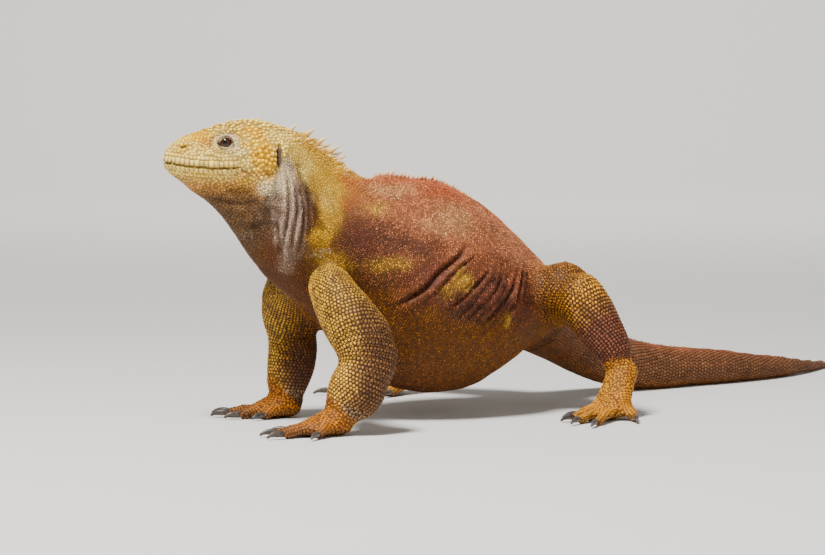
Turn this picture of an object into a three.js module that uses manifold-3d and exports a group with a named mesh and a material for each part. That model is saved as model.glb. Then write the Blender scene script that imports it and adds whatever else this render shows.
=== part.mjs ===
import * as THREE from "three";
import { mergeVertices } from "three/addons/utils/BufferGeometryUtils.js";
import Module from "manifold-3d";

// A Galapagos land iguana that stands on a floor with its chest raised and its head turned to its right.
// Millimetres, +Z up. The trunk lies along X with the head towards -X, so the left side is towards -Y.
// Points are laid out from under the left wrist. The whole is then moved to the middle of its own base.

// Driving dimensions
const GAP = 0.3; // clearance between neighbouring solids
const EYE_RADIUS = 6.8;
const EYE_LATERAL = 17.6; // from the middle of the head to the middle of an eyeball
const DIGIT_RADIUS = 4.4;
const CLAW_LENGTH = 12;
const CLAW_RADIUS = 2.5; // at the root
const CLAW_LIFT = 1.2; // of a claw's tip above the floor
const NAPE_SPINE = 12; // tallest spine of the crest, above the skin
const BACK_SPINE = 4;
const CREST_STEP = 9; // between two low spines
const CREST_END = 0.56; // share of the body line that has a crest

const wasm = await Module();
wasm.setup();

const vec = (x, y, z) => new THREE.Vector3(x, y, z);
const UP = vec(0, 0, 1);
const AHEAD = vec(-1, 0, 0);

// Joining and cutting

function solidOf(geometry) {
  const bare = geometry.clone();
  bare.deleteAttribute("normal");
  bare.deleteAttribute("uv");
  const merged = mergeVertices(bare, 1e-4);
  return new wasm.Manifold(
    new wasm.Mesh({
      numProp: 3,
      vertProperties: merged.attributes.position.array,
      triVerts: new Uint32Array(merged.index.array),
    }),
  );
}

function geometryOf(solid) {
  const mesh = solid.getMesh();
  return new THREE.BufferGeometry()
    .setAttribute("position", new THREE.BufferAttribute(mesh.vertProperties, 3))
    .setIndex(new THREE.BufferAttribute(mesh.triVerts, 1));
}

const join = (solids) => solids.reduce((a, b) => a.add(b));
const largest = (solid) =>
  solid.decompose().reduce((a, b) => (a.volume() > b.volume() ? a : b));
const aboveFloor = (solid) => solid.trimByPlane([0, 0, 1], 0);

// A plane through a point whose normal points ahead of the cut.
const cutAt = (point, normal) => {
  const unit = normal.clone().normalize();
  return { unit, offset: unit.dot(point) };
};
const ahead = (solid, { unit, offset }) => solid.trimByPlane(unit.toArray(), offset + GAP / 2);
const after = (solid, { unit, offset }) =>
  solid.trimByPlane(unit.clone().negate().toArray(), GAP / 2 - offset);

function ellipsoid(at, radii, turn = 0, sides = 7) {
  const geometry = new THREE.SphereGeometry(1, sides, Math.ceil(0.65 * sides));
  geometry.scale(...radii);
  geometry.rotateZ(turn);
  geometry.translate(at.x, at.y, at.z);
  return solidOf(geometry);
}

// Swept bodies

// The values of stations as a smooth function of t from 0 to 1.
function smooth(values) {
  const points = values.map((value, i) => vec(i, value, 0));
  const curve = new THREE.CatmullRomCurve3(points, false, "catmullrom", 0.5);
  return (t) => curve.getPoint(t).y;
}

// A line of stations with a section at every t. A station has its middle "at", its half width "wide" and
// its reach "up" and "down" from the middle. "roof" narrows it towards the top and "keel" towards the bottom.
// "top" is the direction that counts as up.
function line(stations, top = UP) {
  const middle = new THREE.CatmullRomCurve3(stations.map((s) => s.at), false, "catmullrom", 0.5);
  const value = {};
  for (const key of ["wide", "up", "down", "roof", "keel"]) {
    value[key] = smooth(stations.map((s) => s[key] ?? 0));
  }
  return (t) => {
    const tangent = middle.getTangent(t);
    const side = top.clone().cross(tangent).normalize();
    const above = tangent.clone().cross(side).normalize();
    const size = {};
    for (const key of Object.keys(value)) size[key] = value[key](t);
    return { at: middle.getPoint(t), tangent, side, above, ...size };
  };
}

// A closed body along a line, made from a ball's rings. "grow" adds to every size.
function sweep(section, { sides, rings, grow = 0 }) {
  const ball = new THREE.SphereGeometry(1, sides, rings);
  const position = ball.attributes.position;
  for (let i = 0; i < position.count; i++) {
    const ring = Math.floor(i / (sides + 1));
    const s = section(ring / rings);
    const angle = (2 * Math.PI * (i % (sides + 1))) / sides;
    const [across, rise] = [Math.cos(angle), -Math.sin(angle)];
    const at = s.at.clone();
    if (ring === 0 || ring === rings) {
      at.addScaledVector(s.tangent, ring === 0 ? -grow : grow);
    } else {
      const narrow = 1 - (rise > 0 ? s.roof : s.keel) * rise * rise;
      at.addScaledVector(s.side, across * (s.wide + grow) * narrow);
      at.addScaledVector(s.above, rise * ((rise > 0 ? s.up : s.down) + grow));
    }
    position.setXYZ(i, at.x, at.y, at.z);
  }
  return solidOf(ball);
}

// Trunk, neck and tail

const spine = line([
  { at: vec(-14, 88, 207), wide: 19, up: 31, down: 20 },
  { at: vec(5, 79, 190), wide: 32, up: 51, down: 38, roof: 0.35, keel: 0.4 },
  { at: vec(33, 75, 161), wide: 43, up: 56, down: 47, roof: 0.35, keel: 0.4 },
  { at: vec(77, 70, 131), wide: 57, up: 74.5, down: 58, roof: 0.35, keel: 0.2 },
  { at: vec(124, 62, 108), wide: 71, up: 88, down: 81, roof: 0.35 },
  { at: vec(168, 59, 98), wide: 74, up: 85, down: 83, roof: 0.35 },
  { at: vec(205, 62, 92), wide: 63, up: 72.5, down: 68, roof: 0.35 },
  { at: vec(240, 68, 86.5), wide: 49, up: 57.5, down: 47.5, roof: 0.3 },
  { at: vec(277, 76, 77), wide: 38, up: 42, down: 35, roof: 0.2 },
  { at: vec(320, 84, 58), wide: 29, up: 30, down: 28, roof: 0.1 },
  { at: vec(366, 88, 36), wide: 24, up: 25, down: 24 },
  { at: vec(420, 84, 20.5), wide: 20.5, up: 22, down: 21.5 },
  { at: vec(485, 75, 16), wide: 16.5, up: 18, down: 17 },
  { at: vec(555, 70, 11.7), wide: 12.2, up: 13, down: 12.7 },
  { at: vec(625, 80, 7.4), wide: 8, up: 8.4, down: 8.4 },
  { at: vec(690, 104, 3.6), wide: 4.2, up: 4.4, down: 4.4 },
  { at: vec(715, 116, 2.2), wide: 2.5, up: 2.5, down: 2.5 },
]);
const throat = line([
  { at: vec(-55, 127, 198), wide: 6, up: 5, down: 6 },
  { at: vec(-42, 116, 193), wide: 13, up: 10, down: 11 },
  { at: vec(-24, 102, 183), wide: 18, up: 14, down: 16, keel: 0.3 },
  { at: vec(-8, 91, 166), wide: 22, up: 18, down: 22, keel: 0.4 },
  { at: vec(10, 82, 145), wide: 27, up: 22, down: 26.5, keel: 0.4 },
  { at: vec(34, 76, 121), wide: 31, up: 24, down: 27, keel: 0.2 },
  { at: vec(62, 72, 102), wide: 30, up: 24, down: 18 },
]);

// Head. Points are given as the distance ahead of the ears, the distance to the left, and the height.

const FACING = vec(-0.8, 0.6, 0).normalize();
const LEFT = UP.clone().cross(FACING);
const FACE_TURN = Math.atan2(FACING.y, FACING.x);
const onHead = (along, left, height) =>
  vec(7.5, 76.6, height).addScaledVector(FACING, along).addScaledVector(LEFT, left);
const skull = line(
  [
    [-16, 206, 18, 20, 0],
    [-3, 208, 27, 28, 0.1],
    [10, 211, 28, 31, 0.25],
    [20, 213, 28.5, 31.5, 0.35],
    [29, 213.5, 28.5, 29.5, 0.4],
    [38, 212.8, 26.5, 26.5, 0.4],
    [47, 212, 24.8, 24, 0.35],
    [56, 211.3, 23.3, 22.5, 0.3],
    [66, 211, 21.8, 21, 0.25],
    [76, 210, 18.5, 18.5, 0.2],
    [84, 208.9, 13.5, 14, 0.1],
    [88.5, 208.2, 7.5, 8.5, 0],
    [90, 208, 3, 4, 0],
  ].map(([along, height, half, wide, roof]) => ({
    at: onHead(along, 0, height),
    wide,
    up: half,
    down: half,
    roof,
  })),
);

// The part of the head below the mouth line, as a slab across the head.
function jawSlab(grow) {
  const outline = new THREE.Shape([
    new THREE.Vector2(110, 207.4 + grow),
    new THREE.Vector2(84, 207.4 + grow),
    new THREE.Vector2(60, 204.4 + grow),
    new THREE.Vector2(32 - grow, 204 + grow),
    new THREE.Vector2(8 - grow, 186),
    new THREE.Vector2(8 - grow, 100),
    new THREE.Vector2(110, 100),
  ]);
  const slab = new THREE.ExtrudeGeometry(outline, { depth: 120, bevelEnabled: false });
  slab.translate(0, 0, -60);
  const frame = new THREE.Matrix4().makeBasis(FACING, UP, LEFT.clone().negate());
  frame.setPosition(onHead(0, 0, 0));
  return solidOf(slab.applyMatrix4(frame));
}

// The two sides, with the sign of the distance to the left.
const pair = [
  ["left", 1],
  ["right", -1],
];
const eyes = pair.map(([, sign]) => onHead(41, sign * EYE_LATERAL, 223.4));
const ears = (grow) =>
  pair.map(([, sign]) =>
    ellipsoid(onHead(0, sign * 27, 213), [3 + grow, 2.6 + grow, 6.5 + grow], FACE_TURN),
  );
const headParts = [sweep(skull, { sides: 14, rings: 16 })];
for (const [, sign] of pair) {
  headParts.push(ellipsoid(onHead(40, sign * 14.5, 230), [14, 7.5, 6.5], FACE_TURN - sign * 0.12));
  headParts.push(ellipsoid(onHead(16, sign * 20, 205), [17, 12.5, 17], FACE_TURN + sign * 0.1));
  headParts.push(ellipsoid(onHead(73, sign * 9.5, 221.5), [8.5, 6, 6], FACE_TURN - sign * 0.4));
}

// Crest

// A spine that leans towards the tail, flattened from side to side.
function crestSpine(s, height) {
  const sunk = 2 + height * 0.3;
  const cone = new THREE.CylinderGeometry(0, 0.22 * height + 1.2, height + sunk, 4);
  cone.translate(0, (height + sunk) / 2 - sunk, 0);
  cone.scale(1, 1, 0.6);
  cone.rotateZ(-0.45);
  const frame = new THREE.Matrix4().makeBasis(s.tangent, s.above, s.tangent.clone().cross(s.above));
  frame.setPosition(s.at.clone().addScaledVector(s.above, s.up));
  return solidOf(cone.applyMatrix4(frame));
}

// Spine heights at even steps from the back of the head to the end of the crest.
const crestHeight = smooth([
  BACK_SPINE, NAPE_SPINE * 0.8, NAPE_SPINE, NAPE_SPINE * 0.6, BACK_SPINE, BACK_SPINE, BACK_SPINE, BACK_SPINE,
  BACK_SPINE, BACK_SPINE * 0.8, BACK_SPINE * 0.6,
]);
const crest = [];
let place = 0.02;
while (place < CREST_END) {
  const height = crestHeight(place / CREST_END);
  crest.push(crestSpine(spine(place), height));
  const hundredth = spine(place).at.distanceTo(spine(place + 0.01).at);
  place += (0.01 * (CREST_STEP + 0.2 * height)) / hundredth;
}

const torsoParts = (grow) => [
  sweep(spine, { sides: 16, rings: 40, grow }),
  sweep(throat, { sides: 8, rings: 8, grow }),
];
const whole = join([...torsoParts(0), ...headParts, ...crest]);
const around = join([...torsoParts(GAP), ...headParts]);

// Limbs

// Each point of a limb is x, y, z, its half width across the view from the left front, and its half depth.
const VIEWED = vec(-0.67, -0.74, 0);
const limb = (points) =>
  sweep(
    line(points.map(([x, y, z, wide, deep]) => ({ at: vec(x, y, z), wide, up: deep, down: deep })), VIEWED),
    { sides: 9, rings: 7 },
  );

// A palm or sole with five digits and their claws. Distances are from the wrist or ankle, ahead along the
// heading and out from the middle of the body. Each digit ends in a flat face where its claw starts.
function paw({ wrist, heading, outward, palm, digits }) {
  const forward = vec(Math.cos(heading), Math.sin(heading), 0);
  const aside = vec(-Math.sin(heading), Math.cos(heading), 0).multiplyScalar(outward);
  const local = (along, out, height) =>
    vec(wrist[0], wrist[1], height).addScaledVector(forward, along).addScaledVector(aside, out);
  const solids = [
    sweep(
      line(palm.map(([along, out, height, wide, deep]) => ({
        at: local(along, out, height),
        wide,
        up: deep,
        down: deep,
      }))),
      { sides: 8, rings: 5 },
    ),
  ];
  const claws = [];
  for (const [along, out, angle, length] of digits) {
    const pointing = forward.clone().multiplyScalar(Math.cos(angle)).addScaledVector(aside, Math.sin(angle));
    const station = (distance, height, wide, deep = wide) => ({
      at: local(along, out, height).addScaledVector(pointing, distance),
      wide,
      up: deep,
      down: deep,
    });
    const thick = DIGIT_RADIUS;
    const digit = line([
      station(-9, thick * 1.2, thick),
      station(0, thick * 1.5, thick * 1.1),
      station(length * 0.45, thick * 1.3, thick * 0.95),
      station(length * 0.8, thick * 0.8, thick),
      station(length + 3, thick * 0.75, thick * 0.75),
    ]);
    const nail = line([
      station(length - 3, thick * 0.9, CLAW_RADIUS * 0.8, CLAW_RADIUS),
      station(length + CLAW_LENGTH * 0.3, thick, CLAW_RADIUS * 0.75, CLAW_RADIUS),
      station(length + CLAW_LENGTH * 0.7, thick * 0.8, CLAW_RADIUS * 0.5, CLAW_RADIUS * 0.6),
      station(length + CLAW_LENGTH, CLAW_LIFT, CLAW_RADIUS * 0.2),
    ]);
    const tip = cutAt(local(along, out, 0).addScaledVector(pointing, length), pointing);
    solids.push(after(sweep(digit, { sides: 6, rings: 4 }), tip));
    claws.push(ahead(sweep(nail, { sides: 5, rings: 4 }), tip));
  }
  return { flesh: join(solids), claws };
}

// Stations of a palm or sole: ahead, out, height, half width, half depth. Digits run from the innermost to
// the outermost: ahead, out, angle, length.
const HAND = {
  palm: [
    [-12, 0, 14, 10, 8],
    [0, 0, 11.5, 15, 12],
    [14, 0, 9, 18, 9.8],
    [27, 1, 6.2, 17, 7.2],
    [35, 1, 5, 9, 4],
  ],
  digits: [
    [12, -13, -0.75, 15],
    [24, -10, -0.32, 20],
    [29, -2, -0.03, 25],
    [28, 7, 0.24, 27],
    [17, 13, 0.85, 17],
  ],
};
const FOOT = {
  palm: [
    [-11, 0, 44, 8, 7],
    [0, 0, 39, 13, 12],
    [10, 0, 27, 14, 11],
    [20, 0, 11.5, 17, 10.5],
    [34, 0, 6.3, 18, 7.8],
    [44, 0, 5, 9, 4],
  ],
  digits: [
    [28, -15, -0.6, 15],
    [36, -11, -0.26, 24],
    [40, -3, 0, 34],
    [38, 7, 0.22, 45],
    [16, 14, 0.62, 27],
  ],
};

const legs = {
  fore_left: {
    names: ["upper_arm_left", "forearm_left", "hand_left"],
    upper: [[30, 44, 118, 17, 17], [16, 22, 110, 18.5, 20], [10.5, 0, 93, 22.5, 22], [20, -14, 70, 24.5, 20],
      [26, -16, 58, 16, 13]],
    lower: [[28, -15, 76, 16, 14], [27, -16, 62, 21, 19], [18.5, -14, 48, 21.5, 19], [12, -11, 34, 24, 18.5],
      [6, -6, 20, 19, 15],
      [3, -4, 12, 12, 9]],
    middle: cutAt(vec(24, -15, 66), vec(-0.5, 0.15, 1)),
    end: cutAt(vec(3, -4, 18), vec(0.75, -0.3, 0.75)),
    paw: { ...HAND, wrist: [4, -4], heading: Math.PI - 0.4, outward: 1 },
  },
  fore_right: {
    names: ["upper_arm_right", "forearm_right", "hand_right"],
    upper: [[56, 92, 116, 20, 18], [52, 108, 108, 24, 22], [54, 120, 92, 24, 22], [60, 123, 70, 22, 19],
      [62, 123, 58, 14, 12]],
    lower: [[62, 122, 78, 14, 12], [60, 121, 62, 21, 19], [55, 118, 42, 20.5, 18], [51, 119, 24, 17, 14],
      [49, 121, 14, 11, 9]],
    middle: cutAt(vec(60, 123, 66), vec(-0.3, 0, 1)),
    end: cutAt(vec(50, 120, 22), vec(0.6, -0.45, 0.75)),
    paw: { ...HAND, wrist: [55, 117], heading: Math.PI - 0.72, outward: -1 },
  },
  hind_left: {
    names: ["thigh_left", "shin_left", "foot_left"],
    upper: [[264, 62, 88, 22, 24], [258, 38, 89, 27, 26], [247, 8, 95, 27, 25], [238, -14, 101, 25, 24],
      [234, -26, 103, 15, 15]],
    lower: [[230, -19, 113, 13, 13], [236, -26, 100, 21, 20], [245, -39, 75, 20.5, 20],
      [254, -51, 52, 16, 15], [259, -57, 40, 11, 10]],
    middle: cutAt(vec(238, -21, 96), vec(-0.25, 0.5, 0.6)),
    end: cutAt(vec(256, -54, 46), vec(-0.1, 0.3, 1)),
    paw: { ...FOOT, wrist: [259, -57], heading: Math.PI + 0.3, outward: 1 },
  },
  hind_right: {
    names: ["thigh_right", "shin_right", "foot_right"],
    upper: [[264, 90, 88, 22, 24], [260, 110, 88, 26, 26], [252, 136, 90, 25, 24], [242, 158, 92, 23, 23],
      [238, 168, 93, 14, 14]],
    lower: [[232, 164, 104, 13, 12], [238, 168, 92, 21, 20], [246, 177, 70, 20, 19], [254, 184, 50, 16, 14],
      [258, 188, 40, 11, 10]],
    middle: cutAt(vec(240, 164, 88), vec(-0.25, -0.5, 0.6)),
    end: cutAt(vec(256, 185, 46), vec(-0.1, -0.3, 1)),
    paw: { ...FOOT, wrist: [259, 187], heading: Math.PI - 0.3, outward: -1 },
  },
};

// Parting into named solids

const solids = {};
const jawPlane = cutAt(onHead(-6, 0, 216), FACING.clone().multiplyScalar(0.88).addScaledVector(UP, 0.47));
const front = ahead(whole, jawPlane);
const sockets = join([
  ...eyes.map((at) => ellipsoid(at, Array(3).fill(EYE_RADIUS + GAP), 0, 9)),
  ...pair.map(([, sign]) => ellipsoid(onHead(74, sign * 14.2, 222.5), [2.6, 2.2, 2], FACE_TURN)),
]);
solids.head = front.subtract(jawSlab(GAP)).subtract(sockets).subtract(join(ears(GAP)));
solids.lower_jaw = front.intersect(jawSlab(0));

const lengths = [
  ["neck", cutAt(vec(52, 72, 146), vec(-0.78, 0.06, 0.6))],
  ["trunk_front", cutAt(vec(146, 60, 98), AHEAD)],
  ["trunk_rear", cutAt(vec(290, 80, 74), vec(-0.93, -0.1, 0.3))],
  ["tail_1", cutAt(vec(366, 88, 36), vec(-0.95, 0, 0.3))],
  ["tail_2", cutAt(vec(466, 77, 16), AHEAD)],
  ["tail_3", cutAt(vec(585, 73, 10), AHEAD)],
];
let rest = after(whole, jawPlane);
for (const [name, cut] of lengths) {
  solids[name] = ahead(rest, cut);
  rest = after(rest, cut);
}
solids.tail_4 = rest;

for (const { names, upper, lower, middle, end, paw: tip } of Object.values(legs)) {
  const { flesh, claws } = paw(tip);
  const leg = join([limb(upper), limb(lower), flesh]).subtract(around);
  const below = after(leg, middle);
  solids[names[0]] = ahead(leg, middle);
  solids[names[1]] = ahead(below, end);
  solids[names[2]] = after(below, end);
  claws.forEach((claw, i) => {
    solids[`claw_${names[2]}_${i + 1}`] = claw;
  });
}
pair.forEach(([side], i) => {
  solids[`eye_${side}`] = ellipsoid(eyes[i], Array(3).fill(EYE_RADIUS), 0, 9);
  solids[`ear_${side}`] = ears(0)[i];
});

// Named meshes

const LOOKS = [
  [/^eye/, 0x3a1f16, 0.15],
  [/^ear/, 0x5a4334, 0.6],
  [/^claw/, 0x4a4038, 0.5],
  [/^(head|lower_jaw)/, 0xd9c07a, 0.7],
  [/^neck/, 0xb99a72, 0.75],
  [/^trunk/, 0xa9713f, 0.75],
  [/^tail/, 0x9a5f3d, 0.75],
  [/^(upper_arm|thigh)/, 0xc79a3c, 0.72],
  [/^(forearm|shin)/, 0xb98a55, 0.72],
  [/^(hand|foot)/, 0xc98332, 0.72],
];
const group = new THREE.Group();
for (const [name, solid] of Object.entries(solids)) {
  const [, color, roughness] = LOOKS.find(([pattern]) => pattern.test(name));
  const material = new THREE.MeshStandardMaterial({ color, roughness, metalness: 0 });
  const mesh = new THREE.Mesh(geometryOf(largest(aboveFloor(solid))), material);
  mesh.name = name;
  group.add(mesh);
}
const middle = new THREE.Box3().setFromObject(group).getCenter(vec(0, 0, 0));
group.position.set(-middle.x, -middle.y, 0);

export default group;
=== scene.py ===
"""A life-size Galapagos land iguana: one skin over its solids, with scales, spines, eyes and claws."""

import copy
import itertools
import math

import bmesh
import bpy
import numpy as np
from bpy.props import FloatProperty, FloatVectorProperty, PointerProperty
from bpy.types import Operator, Panel, PropertyGroup
from mathutils import Matrix, Vector
from mathutils.bvhtree import BVHTree


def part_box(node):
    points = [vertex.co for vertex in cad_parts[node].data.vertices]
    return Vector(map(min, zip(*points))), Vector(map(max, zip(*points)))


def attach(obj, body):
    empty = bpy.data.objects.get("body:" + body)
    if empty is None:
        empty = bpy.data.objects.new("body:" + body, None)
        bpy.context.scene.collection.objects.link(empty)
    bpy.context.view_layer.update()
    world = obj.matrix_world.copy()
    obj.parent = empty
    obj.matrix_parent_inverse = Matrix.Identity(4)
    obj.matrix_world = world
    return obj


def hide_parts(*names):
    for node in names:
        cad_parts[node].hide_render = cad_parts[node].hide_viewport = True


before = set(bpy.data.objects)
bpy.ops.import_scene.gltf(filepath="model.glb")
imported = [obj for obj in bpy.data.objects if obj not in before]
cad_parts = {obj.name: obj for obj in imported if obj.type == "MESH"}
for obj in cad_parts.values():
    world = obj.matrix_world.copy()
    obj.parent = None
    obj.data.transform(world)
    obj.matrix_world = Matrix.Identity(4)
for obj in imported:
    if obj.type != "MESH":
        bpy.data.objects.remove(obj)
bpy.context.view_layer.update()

bl_info = {
    "name": "Land iguana",
    "version": (1, 0, 0),
    "blender": (4, 5, 0),
    "location": "View3D > Sidebar > Iguana",
    "description": "Skin, scales, spines, eyes and claws of a land iguana around its solids",
    "category": "Object",
}

# Measures and small helpers

MM = 0.001
UP = np.array((0.0, 0.0, 1.0))


def srgb(red, green, blue):
    """A colour as the eye reads it, 0 to 255, made linear."""
    parts = [c / 255 for c in (red, green, blue)]
    return tuple(c / 12.92 if c <= 0.04045 else ((c + 0.055) / 1.055) ** 2.4 for c in parts)


def unit(vectors):
    return vectors / np.maximum(np.linalg.norm(vectors, axis=-1, keepdims=True), 1e-12)


def ramp(value, low, high):
    """0 at low, 1 at high, smooth between them."""
    part = np.clip((value - low) / (high - low), 0, 1)
    return part * part * (3 - 2 * part)


def hill(distance, width):
    return np.exp(-((distance / width) ** 2))


def mix(first, second, share):
    return first + (second - first) * share[..., None]


def noise(places, size, seed):
    """Smooth random values from -1 to 1, one hump to each size."""
    spot = places / size
    cell = np.floor(spot).astype(np.int64)
    part = spot - cell
    part = part * part * (3 - 2 * part)
    total = np.zeros(len(places))
    for corner in itertools.product((0, 1), repeat=3):
        at = cell + np.array(corner)
        mixed = (at[:, 0] * 73856093) ^ (at[:, 1] * 19349663) ^ (at[:, 2] * 83492791) ^ (seed * 50331653)
        mixed = ((mixed ^ (mixed >> 13)) * 1274126177) & 0x7FFFFFFF
        value = ((mixed ^ (mixed >> 15)) & 0xFFFF) / 32768 - 1
        total += value * np.prod(np.where(corner, part, 1 - part), axis=1)
    return total


# Settings

def length(name, description, default):
    return FloatProperty(name=name, description=description, default=default, subtype="DISTANCE",
                         unit="LENGTH")


def colour(name, description, default):
    return FloatVectorProperty(name=name, description=description, default=default, size=3, min=0, max=1,
                               subtype="COLOR")


class IguanaSkin(PropertyGroup):
    """Sizes of the skin."""
    grain: length("Grain", "Edge length of the skin's mesh on the trunk", 3.2 * MM)
    coat_depth: length("Coat depth", "How far the skin lies inside the solids", 0.8 * MM)
    lid: length("Lid", "Thickness of the eyelids over the eyeball", 1.0 * MM)
    eye_width: length("Eye width", "Length of the opening between the lids", 11.0 * MM)
    eye_height: length("Eye height", "Height of the opening between the lids", 6.2 * MM)
    mouth: length("Mouth", "Depth of the line between the lips", 1.6 * MM)
    nostril: length("Nostril", "Depth of the nostrils", 2.6 * MM)
    ear: length("Ear", "Depth of the hollow over the eardrum", 4.4 * MM)


class IguanaScales(PropertyGroup):
    """Distances between neighbouring scales."""
    trunk: length("Trunk", "Distance between the granules of the trunk", 1.7 * MM)
    neck: length("Neck", "Distance between the granules of neck and throat", 1.8 * MM)
    leg: length("Leg", "Distance between the scales of the legs", 3.0 * MM)
    shoulder: length("Shoulder", "Distance between the scales where a leg leaves the trunk", 1.8 * MM)
    tail: length("Tail", "Distance between the rings of the tail", 3.4 * MM)
    head: length("Head", "Distance between the scales of the head", 2.7 * MM)
    crown: length("Crown", "Distance between the raised scales on the crown", 4.2 * MM)
    lip: length("Lip", "Width of the plates along the lips", 3.9 * MM)
    paw: length("Paw", "Distance between the scales of hands and feet", 2.2 * MM)
    scute: length("Scute", "Distance between the bands across the digits", 2.3 * MM)
    nape_spine: length("Nape spine", "Height of the longest spines, on the nape", 14.5 * MM)
    back_spine: length("Back spine", "Height of the spines along the back", 6.5 * MM)


class IguanaColours(PropertyGroup):
    """Colours of the skin, the scales and the eyes."""
    cream: colour("Cream", "Ground colour of the head", srgb(252, 210, 100))
    gold: colour("Gold", "Patches on snout, temple and cheek", srgb(255, 190, 0))
    orange: colour("Orange", "Hands, feet and the patch before the eye", srgb(188, 110, 0))
    lips: colour("Lips", "Plates along the lips", srgb(248, 208, 108))
    jaw: colour("Jaw", "Rear of the lower jaw", srgb(208, 136, 66))
    throat: colour("Throat", "Throat and underside of the jaw", srgb(98, 68, 38))
    pleats: colour("Pleats", "Loose skin on the side of the neck", srgb(188, 158, 136))
    yellow: colour("Yellow", "Nape and front of the shoulder", srgb(228, 172, 40))
    rust: colour("Rust", "Along the crest", srgb(198, 86, 40))
    back: colour("Back", "Back and upper flank", srgb(188, 112, 68))
    # The dark patch behind the shoulder and dark mottling, and also painted shade under the belly, on the
    # rear of the forearms and in two marks.
    dark_patch_and_shade: colour("Dusk", "Dark patch behind the shoulder", srgb(88, 50, 38))
    flank: colour("Flank", "Lower flank", srgb(122, 64, 40))
    belly: colour("Belly", "Chest and belly", srgb(126, 72, 2))
    leg: colour("Leg", "Scales of the front legs", srgb(224, 166, 64))
    thigh: colour("Thigh", "Scales of thigh and knee", srgb(220, 152, 32))
    shin: colour("Shin", "Outer side of the shin", srgb(122, 70, 48))
    finger: colour("Finger", "Toes and fingers of the front legs", srgb(160, 98, 40))
    # Painted shade: laid into folds, creases, neck streaks, the mouth line, nostrils, ear hollows and round
    # the lids.
    groove_shade: colour("Groove", "Bottom of folds, mouth, nostrils and ears", srgb(44, 22, 14))
    gap: colour("Gap", "Skin between the scales of the legs", srgb(50, 24, 12))
    tail: colour("Tail", "Tail", srgb(120, 76, 46))
    fleck: colour("Fleck", "Palest parts of the trunk", srgb(222, 172, 112))
    bone: colour("Bone", "Spine tips and lids", srgb(240, 216, 168))
    iris: colour("Iris", "Coloured ring of the eye", srgb(52, 22, 8))
    horn: colour("Horn", "Claws", srgb(60, 52, 46))


class IguanaStage(PropertyGroup):
    """Floor and light."""
    floor: colour("Floor", "Colour of the floor", srgb(222, 219, 213))
    key: FloatProperty(name="Key light", description="Power of the large light above", default=120,
                       unit="POWER")
    fill: FloatProperty(name="Fill light", description="Power of the light beside the camera", default=8,
                        unit="POWER")
    backdrop: FloatProperty(name="Backdrop light", description="Power of the light on the floor's far edge",
                            default=150, unit="POWER")
    sky: FloatProperty(name="Sky", description="Strength of the even light all round", default=0.3)


def skin_sizes():
    return bpy.context.scene.iguana_skin


def scale_sizes():
    return bpy.context.scene.iguana_scales


def tint(name):
    return np.array(getattr(bpy.context.scene.iguana_colours, name))


# The photograph's camera

PHOTO_WIDTH, PHOTO_HEIGHT = 825, 555
LENS, SENSOR = 147.5, 36.0
CAMERA_AZIMUTH, CAMERA_ELEVATION = math.radians(-42), math.radians(4)
CAMERA_DISTANCE = 2.7
CAMERA_AIM = np.array((-206.4, -24.5, 113.8)) * MM
CAMERA_BACK = np.array((
    math.sin(CAMERA_AZIMUTH) * math.cos(CAMERA_ELEVATION),
    -math.cos(CAMERA_AZIMUTH) * math.cos(CAMERA_ELEVATION),
    math.sin(CAMERA_ELEVATION),
))
CAMERA_PLACE = CAMERA_AIM + CAMERA_BACK * CAMERA_DISTANCE
CAMERA_RIGHT = unit(np.cross(UP, CAMERA_BACK))
CAMERA_ABOVE = np.cross(CAMERA_BACK, CAMERA_RIGHT)


def photo_ray(x, y):
    """The direction from the camera through a pixel of the photograph."""
    pixel = SENSOR / LENS / PHOTO_WIDTH
    across, above = (x - PHOTO_WIDTH / 2) * pixel, (PHOTO_HEIGHT / 2 - y) * pixel
    return unit(CAMERA_RIGHT * across + CAMERA_ABOVE * above - CAMERA_BACK)


# The animal's build, read from the solids

BODY = ["lower_jaw", "head", "neck", "trunk_front", "trunk_rear", "tail_1", "tail_2", "tail_3", "tail_4"]
SIDES = ("left", "right")
ARMS = [(f"upper_arm_{side}", f"forearm_{side}", f"hand_{side}") for side in SIDES]
LEGS = [(f"thigh_{side}", f"shin_{side}", f"foot_{side}") for side in SIDES]
LIMBS = ARMS + LEGS
FLESH = BODY + [node for limb in LIMBS for node in limb]
REGION = {node: number for number, node in enumerate(FLESH)}
HEAD_REGIONS = [REGION["head"], REGION["lower_jaw"]]
TAIL_REGIONS = [REGION[f"tail_{number}"] for number in (1, 2, 3, 4)]
TRUNK_REGIONS = [REGION["trunk_front"], REGION["trunk_rear"]]
PAWS = [paw for upper, lower, paw in LIMBS]
PAW_REGIONS = [REGION[paw] for paw in PAWS]
LEG_REGIONS = [REGION[node] for limb in LIMBS for node in limb[:2]]


def middle(node):
    low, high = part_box(node)
    return np.array((low + high) / 2)


def corners(node):
    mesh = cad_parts[node].data
    places = np.zeros(len(mesh.vertices) * 3)
    mesh.vertices.foreach_get("co", places)
    return places.reshape(-1, 3)


def node_tree(node):
    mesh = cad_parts[node].data
    return BVHTree.FromPolygons([v.co for v in mesh.vertices], [p.vertices[:] for p in mesh.polygons])


def meeting(first, second, reach=1.5 * MM):
    """The middle of the place where two nodes meet."""
    tree = node_tree(second)
    near = [place for place in corners(first) if tree.find_nearest(Vector(place))[3] < reach]
    return np.mean(near, axis=0)


EYE_PLACES = {side: middle(f"eye_{side}") for side in SIDES}
EAR_PLACES = {side: middle(f"ear_{side}") for side in SIDES}
EYE_RADIUS = float(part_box("eye_left")[1].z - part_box("eye_left")[0].z) / 2
HEAD_LEFT = unit(EYE_PLACES["left"] - EYE_PLACES["right"])
OUTWARD = {"left": HEAD_LEFT, "right": -HEAD_LEFT}
FACING = unit(np.cross(HEAD_LEFT, UP))
EAR_LINE = (EAR_PLACES["left"] + EAR_PLACES["right"]) / 2 * np.array((1, 1, 0))


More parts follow.
